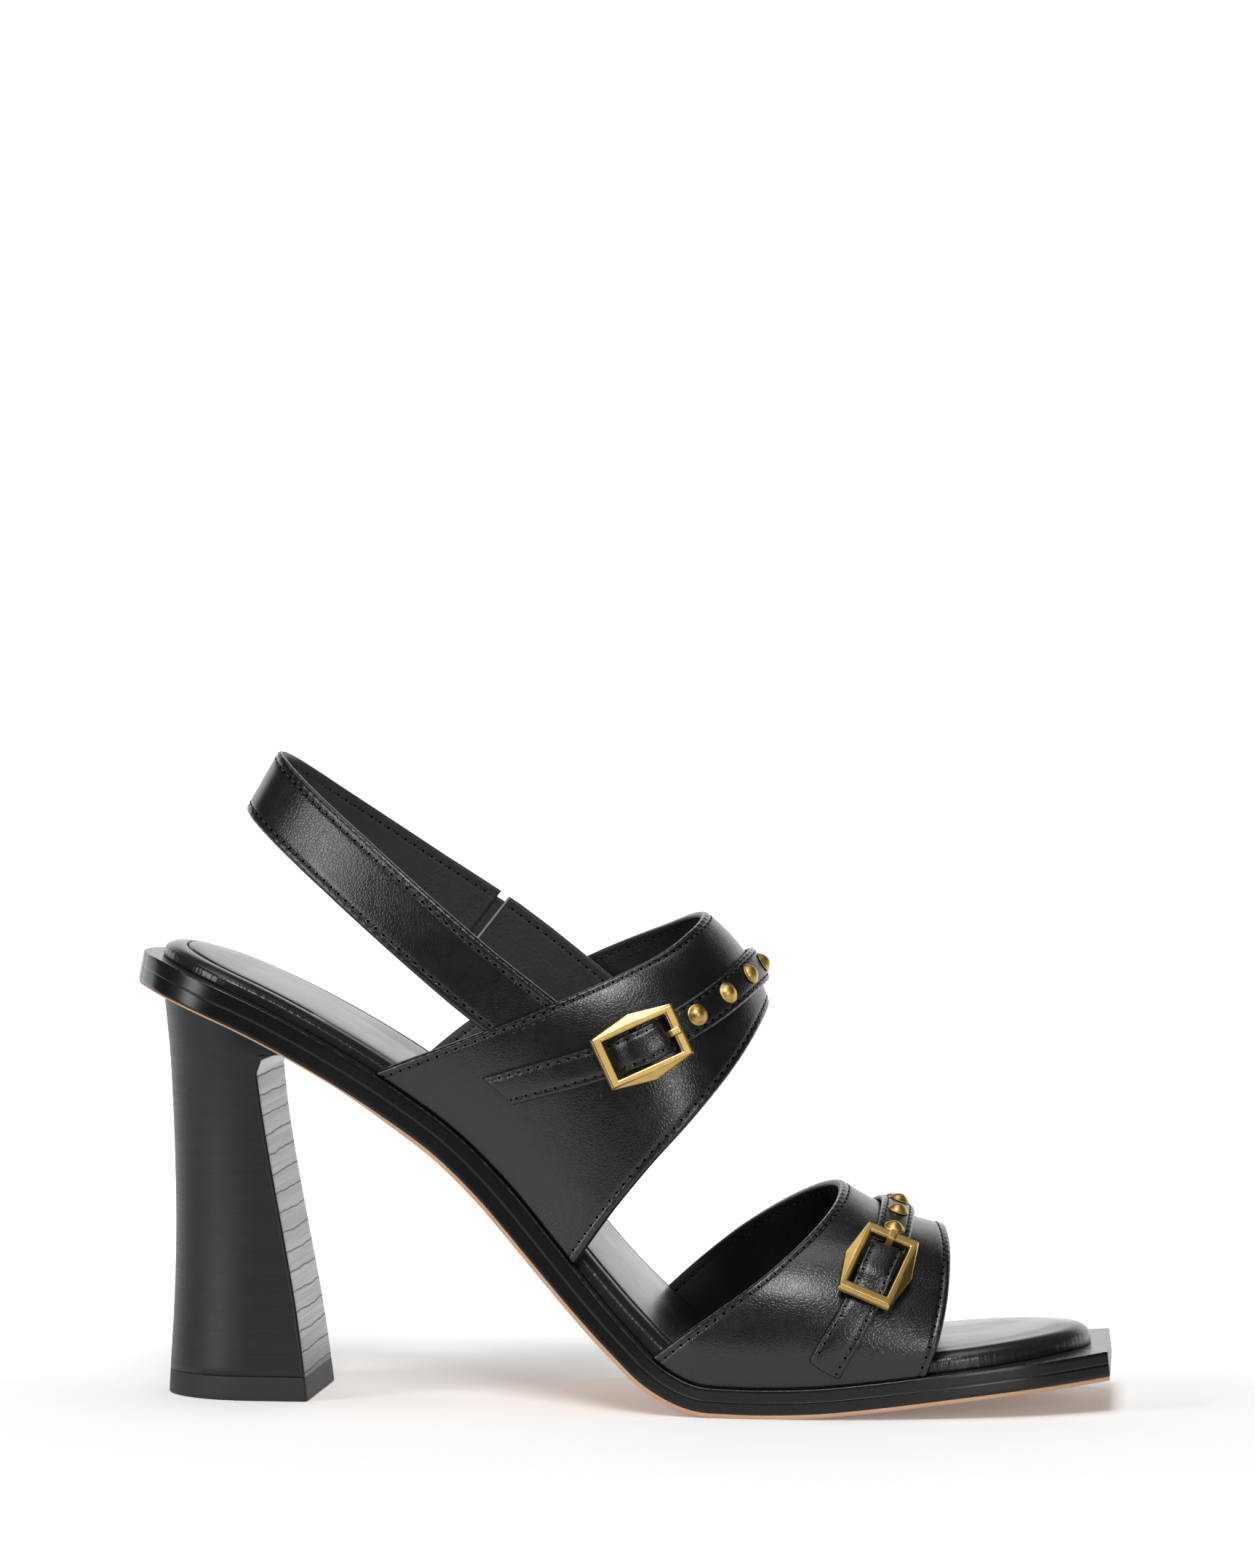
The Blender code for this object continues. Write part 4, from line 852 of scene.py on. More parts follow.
# Lining: split leather, matt, a greenish charcoal with a pebbled face.
lining, tree, shader = surface("split_leather_lining", "#151716", 0.52)
place = add(tree, "TexCoord", out="Object")
pebble = add(tree, "TexVoronoi", {"Vector": place, "Scale": 1100.0}, "Distance", feature="SMOOTH_F1")
cloud = add(tree, "TexNoise", {"Vector": place, "Scale": 200.0, "Detail": 4.0})
wire(shader, {
    "Base Color": add(tree, "Mix", {0: cloud, 6: "#151716", 7: "#292c2a"}, 2, **COLOURS),
    "Normal": add(tree, "Bump", {"Height": pebble, "Strength": 0.45, "Distance": 0.00016}),
})

# Cut edge: the two skived layers under edge dye, black. On the inner side of the shoe the edges are painted
# a light olive grey, a painted highlight where they catch the light.
raw, tree, shader = surface("dyed_cut_edge", "#2b2b2a", 0.55)
place = add(tree, "TexCoord", out="Object")
fibre = add(tree, "TexNoise", {"Vector": place, "Scale": 1200.0, "Detail": 3.0})
outer_side = add(tree, "Mix", {0: fibre, 6: "#161617", 7: "#333334"}, 2, **COLOURS)
painted_lit_inner_edge = add(tree, "Mix", {0: fibre, 6: "#757266", 7: "#a19d8e"}, 2, **COLOURS)
# Painted light: across the middle of the shoe the edges blend from black to the lit olive grey of the inner
# side.
side = add(tree, "SeparateXYZ", {0: place}, "Y")
side = add(tree, "MapRange", {0: side, 1: -0.004, 2: 0.012}, **EASED)
wire(shader, {
    "Base Color": add(tree, "Mix", {0: side, 6: outer_side, 7: painted_lit_inner_edge}, 2, **COLOURS),
    "Normal": add(tree, "Bump", {"Height": fibre, "Strength": 0.4, "Distance": 0.00012}),
})
leather = [calf, lining, raw]

vamp = ([smooth_line(line) for line in (VAMP_REAR, VAMP_MIDDLE, VAMP_FRONT)], VAMP_FEET)
sheet = band_sheet("vamp_leather", vamp, 300, 44, "vamp_band")
seams = [sheet_seam(sheet, away_at) for away_at in (SEAM_IN, -SEAM_IN)]
seams += [sheet_seam(sheet, SEAM_IN, lining_thick=BAND_THICK)]
threads("vamp_stitches", seams, STITCH_LONG, "vamp_band")

# Instep band: the same two-layer calf leather over the instep, its rear edge with a second row of stitches
# where the slingback is caught in it.

INSTEP_REAR = (
    (-54.5, -25.8, 76.0), (-39.9, -29.8, 81.8), (-19.0, -32.0, 90.3), (-3.2, -29.6, 97.2),
    (10.2, -21.5, 103.8), (16.2, -10.5, 108.8), (17.6, 2.0, 111.6), (13.8, 12.5, 110.9),
    (6.5, 21.2, 107.8), (-5.0, 27.4, 103.1), (-24.7, 29.8, 93.8), (-41.6, 28.0, 85.4), (-52.6, 24.0, 78.6),
)
INSTEP_MIDDLE = (
    (-31.6, -26.3, 59.0), (-21.0, -31.0, 68.0), (-6.0, -33.8, 77.5), (6.5, -32.0, 86.0), (18.0, -24.5, 94.5),
    (25.0, -12.0, 100.4), (27.1, 2.0, 102.1), (23.8, 13.5, 100.0), (16.0, 23.5, 93.8), (5.5, 29.5, 86.0),
    (-9.0, 30.6, 76.0), (-21.0, 28.0, 66.0), (-31.0, 23.2, 58.4),
)
INSTEP_FRONT = (
    (-8.9, -30.9, 34.4), (0.5, -33.6, 46.2), (9.6, -33.8, 56.6), (19.0, -31.0, 67.0), (27.4, -22.8, 77.8),
    (32.4, -11.0, 87.2), (32.8, 0.0, 90.6), (28.4, 11.0, 88.4), (20.2, 21.0, 80.4), (11.2, 27.8, 69.8),
    (1.6, 31.0, 57.4), (-6.4, 31.2, 45.0), (-12.0, 28.0, 36.4),
)
INSTEP_FEET = ((63.6, 126.4), (66.6, 122.6))

instep = ([smooth_line(line) for line in (INSTEP_REAR, INSTEP_MIDDLE, INSTEP_FRONT)], INSTEP_FEET)
sheet = band_sheet("instep_leather", instep, 320, 50, "upper_instep")
seams = [sheet_seam(sheet, away_at) for away_at in (SEAM_IN, -SEAM_IN)]
seams += [sheet_seam(sheet, SECOND_SEAM, span=(0.16, 0.245))]
seams += [sheet_seam(sheet, SEAM_IN, lining_thick=BAND_THICK)]
seams += [sheet_seam(sheet, SECOND_SEAM, span=(0.66, 0.86), lining_thick=BAND_THICK)]
threads("instep_stitches", seams, STITCH_LONG, "upper_instep")

# Slingback: one 15 mm strap of the same leather, lined, round the back of the ankle, both ends caught inside
# the rear edge of the instep band.

# The path seen square to its slope: the distance back and across, from the outer to the inner side.
SLING_PATH = (
    (61.0, -30.6), (72.0, -31.0), (84.0, -31.2), (97.0, -30.4), (110.0, -28.2), (123.0, -24.6),
    (135.0, -19.8), (145.0, -14.0), (151.6, -7.6), (153.9, -0.6), (152.2, 6.2), (146.0, 12.6),
    (136.5, 18.2), (124.5, 22.8), (111.0, 26.0), (98.0, 27.6), (84.0, 28.0), (72.0, 27.8), (61.0, 27.2),
)
SLING_SLOPE = 38.0
SLING_TOP = 67.2
SLING_WIDE = 15.6
SLING_THICK = 2.2
SLING_INNER_RISE = 2.6
SLING_FLARE = 2.2

sling_line = smooth_line(SLING_PATH)


def sling_points(fraction, away):
    """Points of the slingback: its path, tipped back by its slope, then down its width by away.

    Its inner side stands higher and its outer side lower towards the band, and it flares out at the back.
    """
    fraction = np.asarray(fraction, float)
    path = at_fraction(sling_line, fraction)
    ahead = at_fraction(sling_line, np.clip(fraction + 0.004, 0, 1))
    behind = at_fraction(sling_line, np.clip(fraction - 0.004, 0, 1))
    tangent = unit(ahead - behind)
    slope = math.radians(SLING_SLOPE)
    back = np.array([-math.cos(slope), 0.0, math.sin(slope)])
    across = np.array([math.sin(slope), 0.0, math.cos(slope)])
    sideways = np.array([0.0, 1.0, 0.0])
    inward = tangent[..., 1:2] * back - tangent[..., 0:1] * sideways
    inner = np.clip((path[..., 1] - 8) / 20, 0, 1)
    rise = SLING_INNER_RISE * inner * np.clip((141 - path[..., 0]) / 50, 0, 1)
    rise = rise + 0.7 * inner * np.clip((112 - path[..., 0]) / 30, 0, 1)
    lower = 0.5 + 1.2 * np.clip((125 - path[..., 0]) / 40, 0, 1)
    rise = rise - lower * np.clip((-path[..., 1] - 8) / 16, 0, 1)
    flare = SLING_FLARE * np.clip((path[..., 0] - 120) / 34, 0, 1)
    at = path[..., :1] * back + path[..., 1:2] * sideways
    tilt = flare * (0.5 - away / SLING_WIDE)
    at = at + across * (SLING_TOP + rise - away)[..., None] + back * tilt[..., None]
    return at, inward


def sling_strip(name, low, high, rows, narrower=0.0, toward=0.0, thick=SLING_THICK):
    """A stretch of the slingback as a leather sheet. Inner parts are narrower or set towards the foot."""
    fraction = np.linspace(low, high, rows)
    width = np.full(rows, SLING_WIDE - 2 * narrower)
    away = columns_across(width, 12)
    face, inward = sling_points(np.repeat(fraction[:, None], away.shape[1], 1), away + narrower)
    facing = np.sign((inward * (np.array([-60.0, 0.0, 100.0]) - face)).sum(-1, keepdims=True))
    out = -inward * facing
    face = face - out * toward
    leather_sheet(name, face, out, away, width, thick, "upper_instep")
    return face, out, away


def cross_seam(sheet, part, lining_thick):
    """Stitches straight across a sheet's lining side, at a part of its length."""
    face, out, away = sheet
    row = int(part * (len(face) - 1))
    inside = (away[row] > SEAM_IN + 0.6) & (away[row] < SLING_WIDE - SEAM_IN - 0.6)
    return spaced((face[row] - out[row] * (lining_thick - 0.1))[inside], -out[row][inside])


def raw_end(name, sheet, lining_thick):
    """A bead along the sheet's first end on its lining side: half a circle 0.3 mm in radius."""
    face, out, away = sheet
    from_side = np.minimum(away[0], SLING_WIDE - away[0])
    line = face[0] - out[0] * (lining_thick - 0.5 * np.exp(-(from_side / 0.3))[:, None])
    ahead = unit(face[1] - face[0])
    turn = circle(8)[:, None, None]
    points = line + 0.30 * (np.cos(turn) * ahead - np.sin(turn) * out[0]) + 0.2 * ahead
    faces = quads(8, len(line))
    last = np.stack([np.arange(len(line) - 1), np.arange(1, len(line))], axis=-1)
    faces = np.concatenate([faces, np.concatenate([last[:, ::-1], last + 7 * len(line)], axis=1)])
    return piece(name, points, faces, [raw], "upper_instep")


# The far end is in two parts butted over an elastic core, their raw ends a gap apart and sewn across.
sheet = sling_strip("slingback", 0.0, 0.829, 360)
far_end = sling_strip("slingback_far_end", 0.840, 1.0, 80, toward=0.7)
sling_strip("slingback_elastic", 0.80, 0.87, 30, narrower=1.6, toward=0.8, thick=1.0)
raw_end("slingback_raw_end", far_end, SLING_THICK)
seams = [sheet_seam(sheet, d) for d in (SEAM_IN, -SEAM_IN)]
seams += [sheet_seam(sheet, d, lining_thick=SLING_THICK) for d in (SEAM_IN, -SEAM_IN)]
seams += [sheet_seam(far_end, d, lining_thick=SLING_THICK) for d in (SEAM_IN, -SEAM_IN)]
seams += [cross_seam(sheet, part, SLING_THICK) for part in (0.915, 0.927, 0.975, 0.988)]
seams += [cross_seam(far_end, part, SLING_THICK) for part in (0.07, 0.13)]
threads("sling_stitches", seams, STITCH_LONG, "upper_instep")

# Straps: 8 mm wide and 1.6 mm thick, calf leather folded round a core and stitched 1.25 mm from both edges. On
# each band a tail rises through the buckle, and a studded strap runs on over the foot.

STRAP_WIDE = 8.0
STRAP_THICK = 1.6
STRAP_CROWN = 0.25
STRAP_CLEAR = 0.06
STRAP_SEAM = 1.25
STRAP_PITCH = 2.4
# The middle lines of the straps on their bands: u across the foot and v from the band's rear edge.
INSTEP_STRAP = (
    (0.072, 0.331), (0.140, 0.420), (0.197, 0.500), (0.254, 0.572), (0.300, 0.602), (0.342, 0.625),
    (0.413, 0.652), (0.490, 0.650), (0.560, 0.630), (0.650, 0.600), (0.750, 0.560), (0.850, 0.530),
    (0.930, 0.510), (0.975, 0.500),
)
VAMP_STRAP = (
    (0.030, 0.606), (0.100, 0.600), (0.174, 0.588), (0.265, 0.572), (0.340, 0.560), (0.400, 0.546),
    (0.475, 0.530), (0.550, 0.515), (0.650, 0.500), (0.750, 0.500), (0.850, 0.500), (0.930, 0.500),
    (0.975, 0.500),
)
INSTEP_BUCKLE_U = 0.252
VAMP_BUCKLE_U = 0.240
# Distance from the buckle's middle along the tail, and how far the tail stands off.
TAIL_LIFT = (
    (-60.0, 0.0), (-10.0, 0.0), (-8.2, 0.0), (-5.2, 0.6), (-2.4, 1.7), (0.0, 2.0), (3.4, 2.0), (5.2, 1.75),
    (6.9, 0.7), (60.0, 0.7),
)
TAIL_END = 6.9
STUDDED_START = 7.6
RIDGE_LIFT = 0.6
STRAP_STEPS = np.array([0, 0.04, 0.12, 0.25, 0.42, 0.62, 0.85, 1.05, 1.25, 1.45, 1.7, 2.1, 2.7, 3.3, 4.0])


def beside(band, u, v, shift):
    """The u and v reached from pairs of u and v by a small shift along the surface."""
    _, by_u, by_v, _ = band_frame(band, u, v)
    uu = (by_u * by_u).sum(1)
    vv = (by_v * by_v).sum(1)
    uv = (by_u * by_v).sum(1)
    su = (shift * by_u).sum(1)
    sv = (shift * by_v).sum(1)
    det = uu * vv - uv * uv
    return u + (su * vv - sv * uv) / det, v + (sv * uu - su * uv) / det


def strap_line(band, table):
    """A strap's middle line: distance along it, u and v, finely."""
    table = np.array(table)
    u = np.linspace(table[0, 0], table[-1, 0], 500)
    v = read_curve(table[:, 0], table[:, 1:], u)[:, 0]
    at = band_frame(band, u, v)[0]
    return run_along(at), u, v


def on_strap(band, line, distance, across, raised):
    """Points and normals over a band at distances along a strap's line, shifts across it and heights."""
    run, u_line, v_line = line
    d = np.ravel(distance)
    u = np.interp(d, run, u_line)
    v = np.interp(d, run, v_line)
    ahead = band_frame(band, np.interp(d + 0.6, run, u_line), np.interp(d + 0.6, run, v_line))[0]
    behind = band_frame(band, np.interp(d - 0.6, run, u_line), np.interp(d - 0.6, run, v_line))[0]
    side = unit(np.cross(band_frame(band, u, v)[3], ahead - behind))
    u2, v2 = beside(band, u, v, side * np.ravel(across)[:, None])
    at, _, _, out = band_frame(band, u2, v2)
    shape = np.shape(distance)
    return (at + out * np.ravel(raised)[:, None]).reshape(*shape, 3), out.reshape(*shape, 3)


def strap(name, band, line, start, stop, lift, node, skew=0.0):
    """A folded strap from start to stop along its line, raised by lift(distance), its start cut aslant."""
    count = int((stop - start) / 0.5)
    d = np.linspace(start, stop, count)
    away = np.concatenate([STRAP_STEPS, STRAP_WIDE - STRAP_STEPS[-2::-1]])
    dd, aa = np.meshgrid(d, away, indexing="ij")
    across = aa - STRAP_WIDE / 2
    f = across / (STRAP_WIDE / 2)
    dd = dd + skew * f * np.clip(1 - (dd - start) / 9.0, 0, 1)
    raised = STRAP_CLEAR + lift(dd) + STRAP_THICK - STRAP_CROWN * f**2
    face, out = on_strap(band, line, dd, across, raised)
    end_in = np.minimum(dd - dd[:1], np.maximum(dd[-1:] - dd, 0))
    end_drop = 0.7 * (1 - np.sqrt(1 - (1 - np.clip(end_in / 0.7, 0, 1)) ** 2))
    face = face - out * end_drop[..., None]
    width = np.full(count, STRAP_WIDE)
    away = np.broadcast_to(away, dd.shape)
    leather_sheet(name, face, out, away, width, STRAP_THICK, node, seam_in=STRAP_SEAM, round_out=0.75)
    inside = (2.5 * STRAP_SEAM / (stop - start), 1 - STRAP_SEAM / (stop - start))
    made = [sheet_seam((face, out, away), s, inside, pitch=STRAP_PITCH) for s in (STRAP_SEAM, -STRAP_SEAM)]
    for end in (start + STRAP_SEAM, stop - STRAP_SEAM):
        shift = np.linspace(-STRAP_WIDE / 2 + STRAP_SEAM, STRAP_WIDE / 2 - STRAP_SEAM, 60)
        fade = np.clip(1 - (end - start) / 9.0, 0, 1)
        end_d = end + skew * shift / (STRAP_WIDE / 2) * fade
        drop = 0.13 + STRAP_CROWN * (shift / (STRAP_WIDE / 2)) ** 2
        at, n = on_strap(band, line, end_d, shift, STRAP_CLEAR + lift(end_d) + STRAP_THICK - drop)
        made.append(spaced(at, n, STRAP_PITCH))
    threads(name + "_stitches", made, 1.4, node, wide=0.36, pitch=STRAP_PITCH, hole=0.26)


def tail_lift(from_buckle):
    """How far the tail stands off its band at a distance from the buckle."""
    table = np.array(TAIL_LIFT)
    return read_curve(table[:, 0], table[:, 1:], np.ravel(from_buckle))[:, 0].reshape(np.shape(from_buckle))


def ridge_lift(distance, ridge):
    """The studded part stands off a little where it crosses the ridge of the foot."""
    return RIDGE_LIFT * np.exp(-(((distance - ridge) / 13.0) ** 2))


straps = {}
for label, band, table, buckle_u, skew in (
    ("instep", instep, INSTEP_STRAP, INSTEP_BUCKLE_U, -2.6), ("vamp", vamp, VAMP_STRAP, VAMP_BUCKLE_U, 0.6),
):
    line = strap_line(band, table)
    middle = float(np.interp(buckle_u, line[1], line[0]))
    ridge = float(np.interp(0.5, line[1], line[0]))
    strap(
        label + "_tail_strap", band, line, abs(skew), middle + TAIL_END, lambda d: tail_lift(d - middle),
        label + "_tail", skew,
    )
    strap(
        label + "_studded_strap", band, line, middle + STUDDED_START, float(line[0][-1]),
        lambda d: ridge_lift(d, ridge), label + "_strap",
    )
    straps[label] = (band, line, middle, ridge, buckle_u)
    # The loop that holds the buckle is sewn through the band in two short rows beside the tail.
    rows = []
    for along_at in (-14.6, -12.6):
        across = np.linspace(-4.5, -7.9, 30)
        row = on_strap(band, line, middle + along_at - 0.15 * across, across, np.full(30, -0.1))
        rows.append(spaced(*row, 1.7))
    threads(label + "_loop_stitches", rows, 1.15, label + "_tail", wide=0.4, pitch=1.7, hole=0.26)
    # A punched hole in the tail, the tongue behind it: its inside is a dark disc of painted shade in a low
    # rim.
    turn = circle(24)
    reach = np.array([0.0, 0.5, 0.75, 0.85, 1.0, 1.15])[:, None]
    place_d = middle + 2.7 + reach * np.cos(turn)
    rise = np.broadcast_to(np.array([0.02, 0.02, 0.03, 0.09, 0.08, -0.06])[:, None], place_d.shape)
    raised = STRAP_CLEAR + tail_lift(place_d) + STRAP_THICK + rise
    face, _ = on_strap(band, line, place_d, -0.3 + reach * np.sin(turn), raised)
    faces = quads(6, 24, around=True)
    piece(
        label + "_tail_hole", face, faces, [calf, hole_shade], label + "_tail",
        face_finish=(np.arange(len(faces)) < 48).astype(int),
    )

# Buckles: cast zinc, brushed and plated in an antique gold. Six-sided frames, flat at the ends, with long
# sloping facets on their swollen sides, a middle bar, and a tongue whose tip lies over the far end.

BUCKLE_LONG = 20.4
BUCKLE_WIDE = 12.4
BUCKLE_BULGE = 1.9
WINDOW_LONG = 15.4
WINDOW_WIDE = 9.2
BUCKLE_THICK = 2.0
MIDDLE_BAR = 1.1
BAR_WIDE = 1.2
PRONG_THICK = 1.1
PRONG_WIDE = 1.9

# Antique gold plate: a warm metal, brushed in short strokes, its tone varying in soft patches.
gold, tree, shader = surface("antique_gold_plate", "#c0a468", 0.34, metal=1.0)
place = add(tree, "TexCoord", out="Object")
stroke = add(tree, "Mapping", {"Vector": place, "Scale": (400.0, 400.0, 2600.0)})
strokes = add(tree, "TexNoise", {"Vector": stroke, "Scale": 1.0, "Detail": 4.0})
cloud = add(tree, "TexNoise", {"Vector": place, "Scale": 420.0, "Detail": 4.0})
wire(shader, {
    "Base Color": add(tree, "Mix", {0: cloud, 6: "#b3934d", 7: "#cfb172"}, 2, **COLOURS),
    "Roughness": add(tree, "MapRange", {0: strokes, 1: 0.3, 2: 0.7, 3: 0.29, 4: 0.33}, **EASED),
    "Normal": add(tree, "Bump", {"Height": strokes, "Strength": 0.06, "Distance": 0.00003}),
})


def buckle_place(band, line, buckle_u):
    """Where a buckle sits: its middle and its long, cross and outward directions."""
    run, u_line, v_line = line
    distance = np.interp(buckle_u, u_line, run)
    near = distance + np.array([-8.0, 0.0, 8.0])
    at, _, _, n = band_frame(band, np.interp(near, run, u_line), np.interp(near, run, v_line))
    along = at[2] - at[0]
    out = unit(n.sum(0))
    along = unit(along - out * (along @ out))
    return at[1], along, np.cross(out, along), out


def clearance(band, place, middle_u, over_strap):
    """The lowest a flat frame can sit clear of the band and of the strap under its end bars."""
    middle, along, side, out = place
    uu, vv = np.meshgrid(np.linspace(middle_u - 0.16, middle_u + 0.16, 61), np.linspace(0.02, 0.98, 61))
    at = band_frame(band, uu.ravel(), vv.ravel())[0] - middle
    a = at @ along
    b = at @ side
    h = at @ out
    half = BUCKLE_WIDE / 2 + BUCKLE_BULGE * (1 - np.abs(a) / (BUCKLE_LONG / 2))
    inside = (np.abs(a) < BUCKLE_LONG / 2 + 0.2) & (np.abs(b) < half + 0.2)
    window = (np.abs(a) < WINDOW_LONG / 2 - 0.2) & (np.abs(b) < WINDOW_WIDE / 2 - 0.2)
    under_bar = inside & (np.abs(a) > WINDOW_LONG / 2 - 0.3) & (np.abs(b) < STRAP_WIDE / 2 + 0.3)
    return max(h[inside & ~window].max() + GAP, h[under_bar].max() + over_strap)


def placed(points, place):
    """Local points, along, across and outward, put in a buckle's place."""
    middle, along, side, out = place
    points = np.asarray(points, float)
    return middle + points[..., :1] * along + points[..., 1:2] * side + points[..., 2:3] * out


def bevelled(made, width):
    """Breaks a piece's sharp edges by a small rounded bevel."""
    bevel = made.modifiers.new("broken_edges", "BEVEL")
    bevel.width = width * MM
    bevel.segments = 2
    bevel.limit_method = "ANGLE"
    bevel.angle_limit = math.radians(20)
    return made


def hexagon(half_long, half_wide, bulge):
    """Six corners: four at the ends and one swollen out in the middle of each long side."""
    return [
        (-half_long, -half_wide), (0.0, -half_wide - bulge), (half_long, -half_wide),
        (half_long, half_wide), (0.0, half_wide + bulge), (-half_long, half_wide),
    ]


def buckle(name, place, low):
    """A ring of facets: foot, outer arris, the flat top pulled in at the apexes, and the window's wall."""
    half_long = BUCKLE_LONG / 2
    half_wide = BUCKLE_WIDE / 2
    rings = (
        (hexagon(half_long, half_wide, BUCKLE_BULGE), 0.0),
        (hexagon(half_long, half_wide, BUCKLE_BULGE), 0.55),
        (hexagon(half_long - 0.35, half_wide - 0.35, BUCKLE_BULGE - 1.75), 1.0),
        (hexagon(WINDOW_LONG / 2 + 0.3, WINDOW_WIDE / 2 + 0.3, 0.0), 1.0),
        (hexagon(WINDOW_LONG / 2, WINDOW_WIDE / 2, 0.0), 0.8),
        (hexagon(WINDOW_LONG / 2, WINDOW_WIDE / 2, 0.0), 0.0),
    )
    points = np.array([[(x, y, low + height * BUCKLE_THICK) for x, y in ring] for ring, height in rings])
    under = np.array([[30 + k, 30 + (k + 1) % 6, (k + 1) % 6, k] for k in range(6)])
    faces = np.concatenate([quads(6, 6, around=True), under])
    bevelled(piece(name + "_frame", placed(points, place), faces, [gold], name, smooth=False), 0.22)
    turn = circle(12)
    bar = []
    for y, base in ((-1.4, low + 0.5), (-0.9, GAP), (0.9, GAP), (1.4, low + 0.5)):
        across = y + math.copysign(WINDOW_WIDE / 2, y)
        bar.append([
            (BAR_WIDE / 2 * math.cos(k), across, base + MIDDLE_BAR * (0.5 + 0.5 * math.sin(k))) for k in turn
        ])
    piece(name + "_bar", placed(bar, place), quads(4, 12, around=True), [gold], name)


def tongue(name, place, low, node):
    """A flat bar from the middle bar, under the tail, its squared tip over the far end of the frame."""
    top = low + BUCKLE_THICK
    over = WINDOW_LONG / 2 + 1.9
    line = [
        (0.9, GAP), (5.2, GAP), (6.2, max(1.2, low)), (6.9, top + 0.02), (7.4, top + 0.1),
        (over - 0.3, top + 0.1), (over, top + 0.25),
    ]
    loops = []
    for k, (x, z) in enumerate(line):
        half = PRONG_WIDE / 2 * (0.86 if k in (0, 6) else 1.0)
        up = z + PRONG_THICK * (0.7 if k == 6 else 1.0)
        loops.append([(x, -half, z), (x, half, z), (x, half * 0.72, up), (x, -half * 0.72, up)])
    faces = np.concatenate([quads(7, 4, around=True), [[0, 1, 2, 3], [27, 26, 25, 24]]])
    bevelled(piece(name, placed(loops, place), faces, [gold], node, smooth=False), 0.18)


for label in ("instep", "vamp"):
    band, line, middle, ridge, buckle_u = straps[label]
    place = buckle_place(band, line, buckle_u)
    low = clearance(band, place, buckle_u, GAP + STRAP_THICK + GAP)
    buckle(label + "_buckle", place, low)
    tongue(label + "_tongue", place, low, label + "_prong")

# Studs: pressed brass caps, 5 mm across, plated like the buckles and polished. Each has a thin flat brim round
# a low dome, and its prongs go through the strap.

STUD_HIGH = 1.7
STUD_PITCH = 10.2
# The first stud's distance along each strap's line, and the number of studs.
STUDS = {"instep": (51.9, 7), "vamp": (42.0, 6)}

# Polished gold plate: the same warm metal, smoother, with small dents.
cap, tree, shader = surface("polished_gold_plate", "#bf9f5c", 0.32, metal=1.0)
place = add(tree, "TexCoord", out="Object")
dent = add(tree, "TexNoise", {"Vector": place, "Scale": 700.0, "Detail": 3.0})
wire(shader, {
    "Base Color": add(tree, "Mix", {0: dent, 6: "#ab8a48", 7: "#cbae6e"}, 2, **COLOURS),
    "Roughness": add(tree, "MapRange", {0: dent, 1: 0.3, 2: 0.7, 3: 0.36, 4: 0.46}, **EASED),
    "Normal": add(tree, "Bump", {"Height": dent, "Strength": 0.1, "Distance": 0.00008}),
})

profile = np.array((
    (0.0, 0.0), (2.3, 0.0), (2.48, 0.06), (2.5, 0.16), (2.44, 0.26), (2.3, 0.32), (2.2, 0.36), (2.05, 0.58),
    (1.8, 0.86), (1.45, 1.16), (1.0, 1.43), (0.5, 1.62), (0.0, STUD_HIGH),
))
turn = circle(28)
radius = profile[:, :1]
local = np.stack([
    radius * np.cos(turn), radius * np.sin(turn), np.repeat(profile[:, 1:], len(turn), 1),
], axis=-1)
for label, (first, count) in STUDS.items():
    band, line, middle, ridge, _ = straps[label]
    for k in range(count):
        distance = first + STUD_PITCH * k
        base = STRAP_CLEAR + STRAP_THICK + float(ridge_lift(distance, ridge)) - 0.02
        at, out = on_strap(band, line, np.array([distance]), np.array([0.0]), np.array([base]))
        ahead, _ = on_strap(band, line, np.array([distance + 0.5]), np.array([0.0]), np.array([base]))
        along = ahead[0] - at[0]
        along = unit(along - out[0] * (along @ out[0]))
        points = placed(local, (at[0], along, np.cross(out[0], along), out[0]))
        name = f"{label}_stud_{k + 1}"
        piece(name + "_cap", points, quads(len(profile), len(turn), around=True), [cap], name)

# Studio: a pale floor that curves up into a pale wall, one broad light overhead, and three soft boxes on the
# camera's side that give the leather its highlights. The paper also glows, which is painted light: faintly in
# front of the shoe and fully from 0.3 m behind it and up the wall.

FLOOR_FRONT = -0.31
FLOOR_BACK = 1.6
CURVE = 1.2
WALL_TOP = 1.7
FLOOR_HALF = 5.0

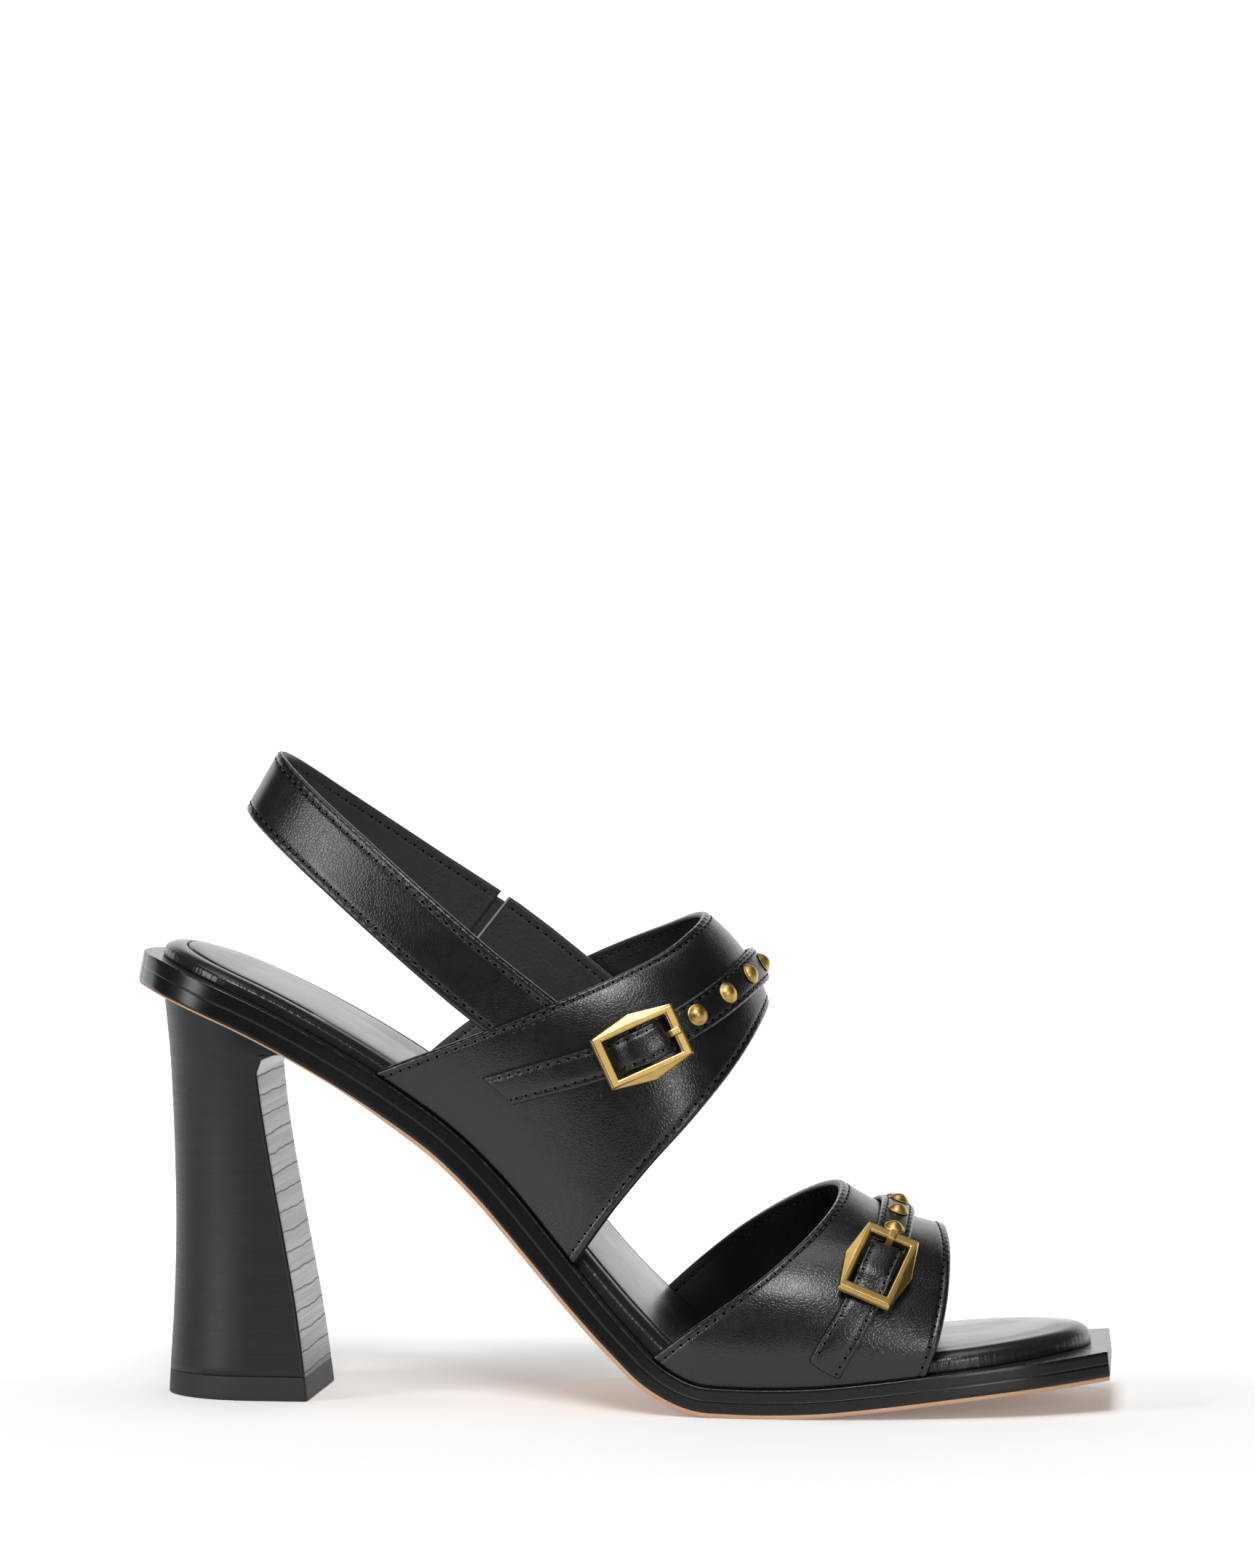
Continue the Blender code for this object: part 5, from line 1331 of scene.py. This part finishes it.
bend = np.linspace(0.1, math.pi / 2, 16)
y = np.concatenate([[FLOOR_FRONT, FLOOR_BACK], FLOOR_BACK + CURVE * np.sin(bend), [FLOOR_BACK + CURVE]])
z = np.concatenate([[0.0, 0.0], CURVE - CURVE * np.cos(bend), [WALL_TOP]])
points = np.stack([[across + 0 * y, y, z] for across in (-FLOOR_HALF, FLOOR_HALF)]).transpose(2, 0, 1)
mesh = bpy.data.meshes.new("studio_floor")
mesh.from_pydata(points.reshape(-1, 3), [], quads(len(y), 2).tolist())
mesh.polygons.foreach_set("use_smooth", np.full(len(mesh.polygons), True))
paper, tree, shader = surface("seamless_paper", "#fbfbfb", 0.9)
# Painted light: the paper's own glow, 0.12 in front of the shoe, rising to 1.0 from 0.3 m behind.
depth = add(tree, "SeparateXYZ", {0: add(tree, "TexCoord", out="Object")}, "Y")
wire(shader, {
    "Specular IOR Level": 0.1,
    "Emission Color": "#ffffff",
    "Emission Strength": add(tree, "MapRange", {0: depth, 1: -0.02, 2: 0.30, 3: 0.12, 4: 1.0}, **EASED),
})
mesh.materials.append(paper)
floor = bpy.data.objects.new("studio_floor", mesh)
bpy.context.scene.collection.objects.link(floor)


def soft_box(name, azimuth, elevation, distance, width, height, power, aim=(0.0, 0.0, 0.06)):
    """An area light at an azimuth, 0 on the camera's side and + to the toe, and an elevation."""
    a = math.radians(azimuth)
    e = math.radians(elevation)
    way = np.array([math.sin(a) * math.cos(e), -math.cos(a) * math.cos(e), math.sin(e)])
    light = bpy.data.lights.new(name, "AREA")
    light.shape = "RECTANGLE"
    light.size = width
    light.size_y = height
    light.energy = power
    made = bpy.data.objects.new(name, light)
    made.location = np.array(aim) + way * distance
    across = unit(np.cross((0.0, 0.0, 1.0), way))
    up = np.cross(way, across)
    made.rotation_euler = mathutils.Matrix(np.array([across, up, way]).T.tolist()).to_euler()
    bpy.context.scene.collection.objects.link(made)
    return made


soft_box("overhead", 175.0, 88.0, 2.1, 1.2, 1.0, 9.0)
soft_box("front_key", 0.0, 50.0, 1.5, 0.40, 0.75, 13.0)
soft_box("front_right", 29.0, 11.0, 1.9, 0.35, 0.6, 7.0)
soft_box("front_left", -52.0, 14.0, 1.8, 0.5, 1.0, 12.0)

world = bpy.data.worlds.new("studio")
world.use_nodes = True
world.node_tree.nodes["Background"].inputs["Color"].default_value = linear("#ffffff")
world.node_tree.nodes["Background"].inputs["Strength"].default_value = 0.06
bpy.context.scene.world = world
bpy.context.scene.view_settings.view_transform = "Standard"
